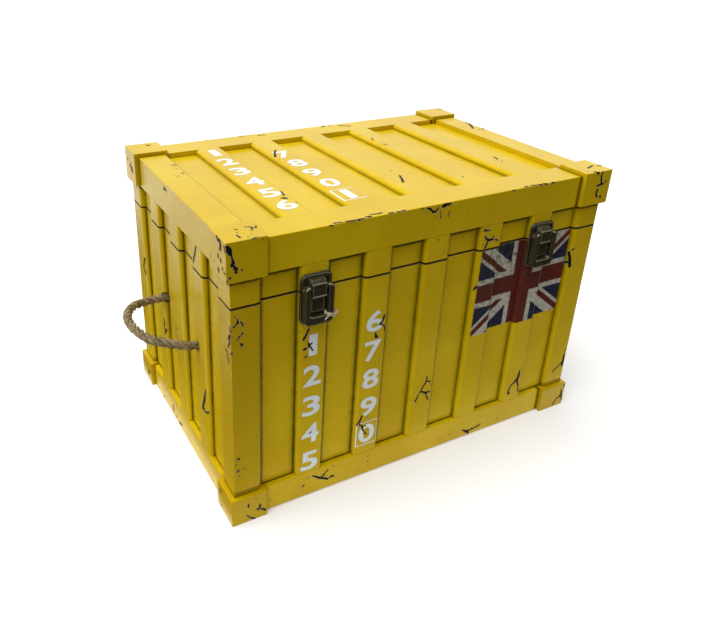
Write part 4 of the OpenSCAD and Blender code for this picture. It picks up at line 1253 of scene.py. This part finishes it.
def tieKnots():
    k, lines = knots, []
    for side in (-1, 1):
        for hole in (-1, 1):
            y = handle["middle"] + hole * handle["half"]
            points = [Vector((k["wallOut"], y, handle["height"])), Vector((k["wallIn"] + 6, y, handle["height"])),
                      Vector((k["wallIn"], y, handle["height"]))]
            steps = round(k["turns"] * 10)
            for n in range(steps + 1):
                angle = 2 * math.pi * k["turns"] * n / steps + hole
                wide = k["round"] * min(1.0, 0.25 + n / 5)
                points.append(Vector((k["middle"] + k["half"] * (1 - 2 * n / steps), y + wide * math.cos(angle),
                                      handle["height"] + wide * math.sin(angle))))
            last = points[-1]
            for n in (1, 2, 3):
                points.append(last + Vector((-2.2 * n, hole * -1.0 * n, -k["tail"] * n / 3)))
            for p in points:
                p.x *= side
            lines.append(throughPoints(points, handle["step"]))
    mesh = ropeMesh("ropeKnots", lines, random.Random(21), 60)
    addPiece("ropeKnots", mesh, "base", jute, ["rope_ends"])


tieKnots()
print("twine and knots are tied")


studio = {
    "background": 1.0, "fill": 0.22,
    "sun": (-0.38, 0.08, 0.92), "sunStrength": 3.8, "sunAngle": 75,
    "floorGrey": 0.85, "floorLift": 0.18, "bounce": 0.19,
    # black cards, seen only in reflections: two on the floor, one upright on the right and one behind the camera
    "cards": [[(1.3, -1.8, 0.0), (1.3, -0.3, 0.0), (1.3, -0.3, 2.0), (1.3, -1.8, 2.0)],
              [(-1.6, -1.8, 0.002), (5.5, -1.8, 0.002), (5.5, -0.195, 0.002), (-1.6, -0.195, 0.002)],
              [(-0.385, -0.30, 0.002), (-0.243, -0.30, 0.002), (-0.243, 0.75, 0.002), (-0.385, 0.75, 0.002)],
              [(-1.6, -1.8, 0.0), (5.5, -1.8, 0.0), (5.5, -1.8, 3.0), (-1.6, -1.8, 3.0)]],
}


def seenDirectly(f, path):
    # 1 for what the camera, a reflection or a look through glass sees
    return f.most(*(Reading(f, path.outputs[ray]) for ray in ("Is Camera Ray", "Is Glossy Ray", "Is Transmission Ray")))


def setUpStudio():
    scene = bpy.context.scene
    scene.view_settings.view_transform = "Standard"
    world = bpy.data.worlds.new("studio")
    scene.world = world
    f = Finish("studio", world)
    seen = seenDirectly(f, f.node("ShaderNodeLightPath"))
    strength = seen * (studio["background"] - studio["fill"]) + studio["fill"]
    sky = f.node("ShaderNodeBackground", {}, {"Color": (1, 1, 1), "Strength": strength})
    f.node("ShaderNodeOutputWorld", {}, {"Surface": sky.outputs[0]})

    lamp = bpy.data.lights.new("softSun", "SUN")
    lamp.energy, lamp.angle = studio["sunStrength"], math.radians(studio["sunAngle"])
    sun = bpy.data.objects.new("softSun", lamp)
    sun.rotation_euler = Vector(studio["sun"]).to_track_quat("Z", "Y").to_euler()
    scene.collection.objects.link(sun)

    bm = bmesh.new()
    bmesh.ops.create_grid(bm, x_segments=1, y_segments=1, size=6.0)
    mesh = bpy.data.meshes.new("floor")
    bm.to_mesh(mesh)
    bm.free()
    f = Finish("floor")
    path = f.node("ShaderNodeLightPath")
    seen, bounced = seenDirectly(f, path), Reading(f, path.outputs["Is Diffuse Ray"])
    # the floor throws its light back only from near the chest, so that the front grows darker upwards
    x, y, z = f.parts(f.node("ShaderNodeTexCoord").outputs["Object"])
    away = f.most(f.maths("ABSOLUTE", x - 0.12) - 0.24, f.maths("ABSOLUTE", y) - 0.16)
    near = f.fade(away, 0.45, 0.05)
    grey = (1.0 - bounced * (1.0 - near) * 0.85) * studio["floorGrey"]
    matt = f.node("ShaderNodeBsdfDiffuse", {}, {"Color": f.blend(grey, (0, 0, 0), (1, 1, 1))})
    lift = seen * studio["floorLift"] + bounced * near * studio["bounce"]
    glow = f.node("ShaderNodeEmission", {}, {"Color": (1, 1, 1), "Strength": lift})
    both = f.node("ShaderNodeAddShader", {}, {0: matt.outputs[0], 1: glow.outputs[0]})
    f.node("ShaderNodeOutputMaterial", {}, {"Surface": both.outputs[0]})
    mesh.materials.append(f.owner)
    floor = bpy.data.objects.new("floor", mesh)
    scene.collection.objects.link(floor)

    # the cards keep white reflections off the front and the left end
    f = Finish("card")
    black = f.node("ShaderNodeBsdfDiffuse", {}, {"Color": (0.012, 0.010, 0.004)})
    f.node("ShaderNodeOutputMaterial", {}, {"Surface": black.outputs[0]})
    for n, corners in enumerate(studio["cards"]):
        mesh = bpy.data.meshes.new("card")
        mesh.from_pydata(corners, [], [(0, 1, 2, 3)])
        mesh.materials.append(f.owner)
        card = bpy.data.objects.new("card" + str(n), mesh)
        card.visible_camera = card.visible_shadow = card.visible_diffuse = False
        scene.collection.objects.link(card)


setUpStudio()
print("studio is lit")
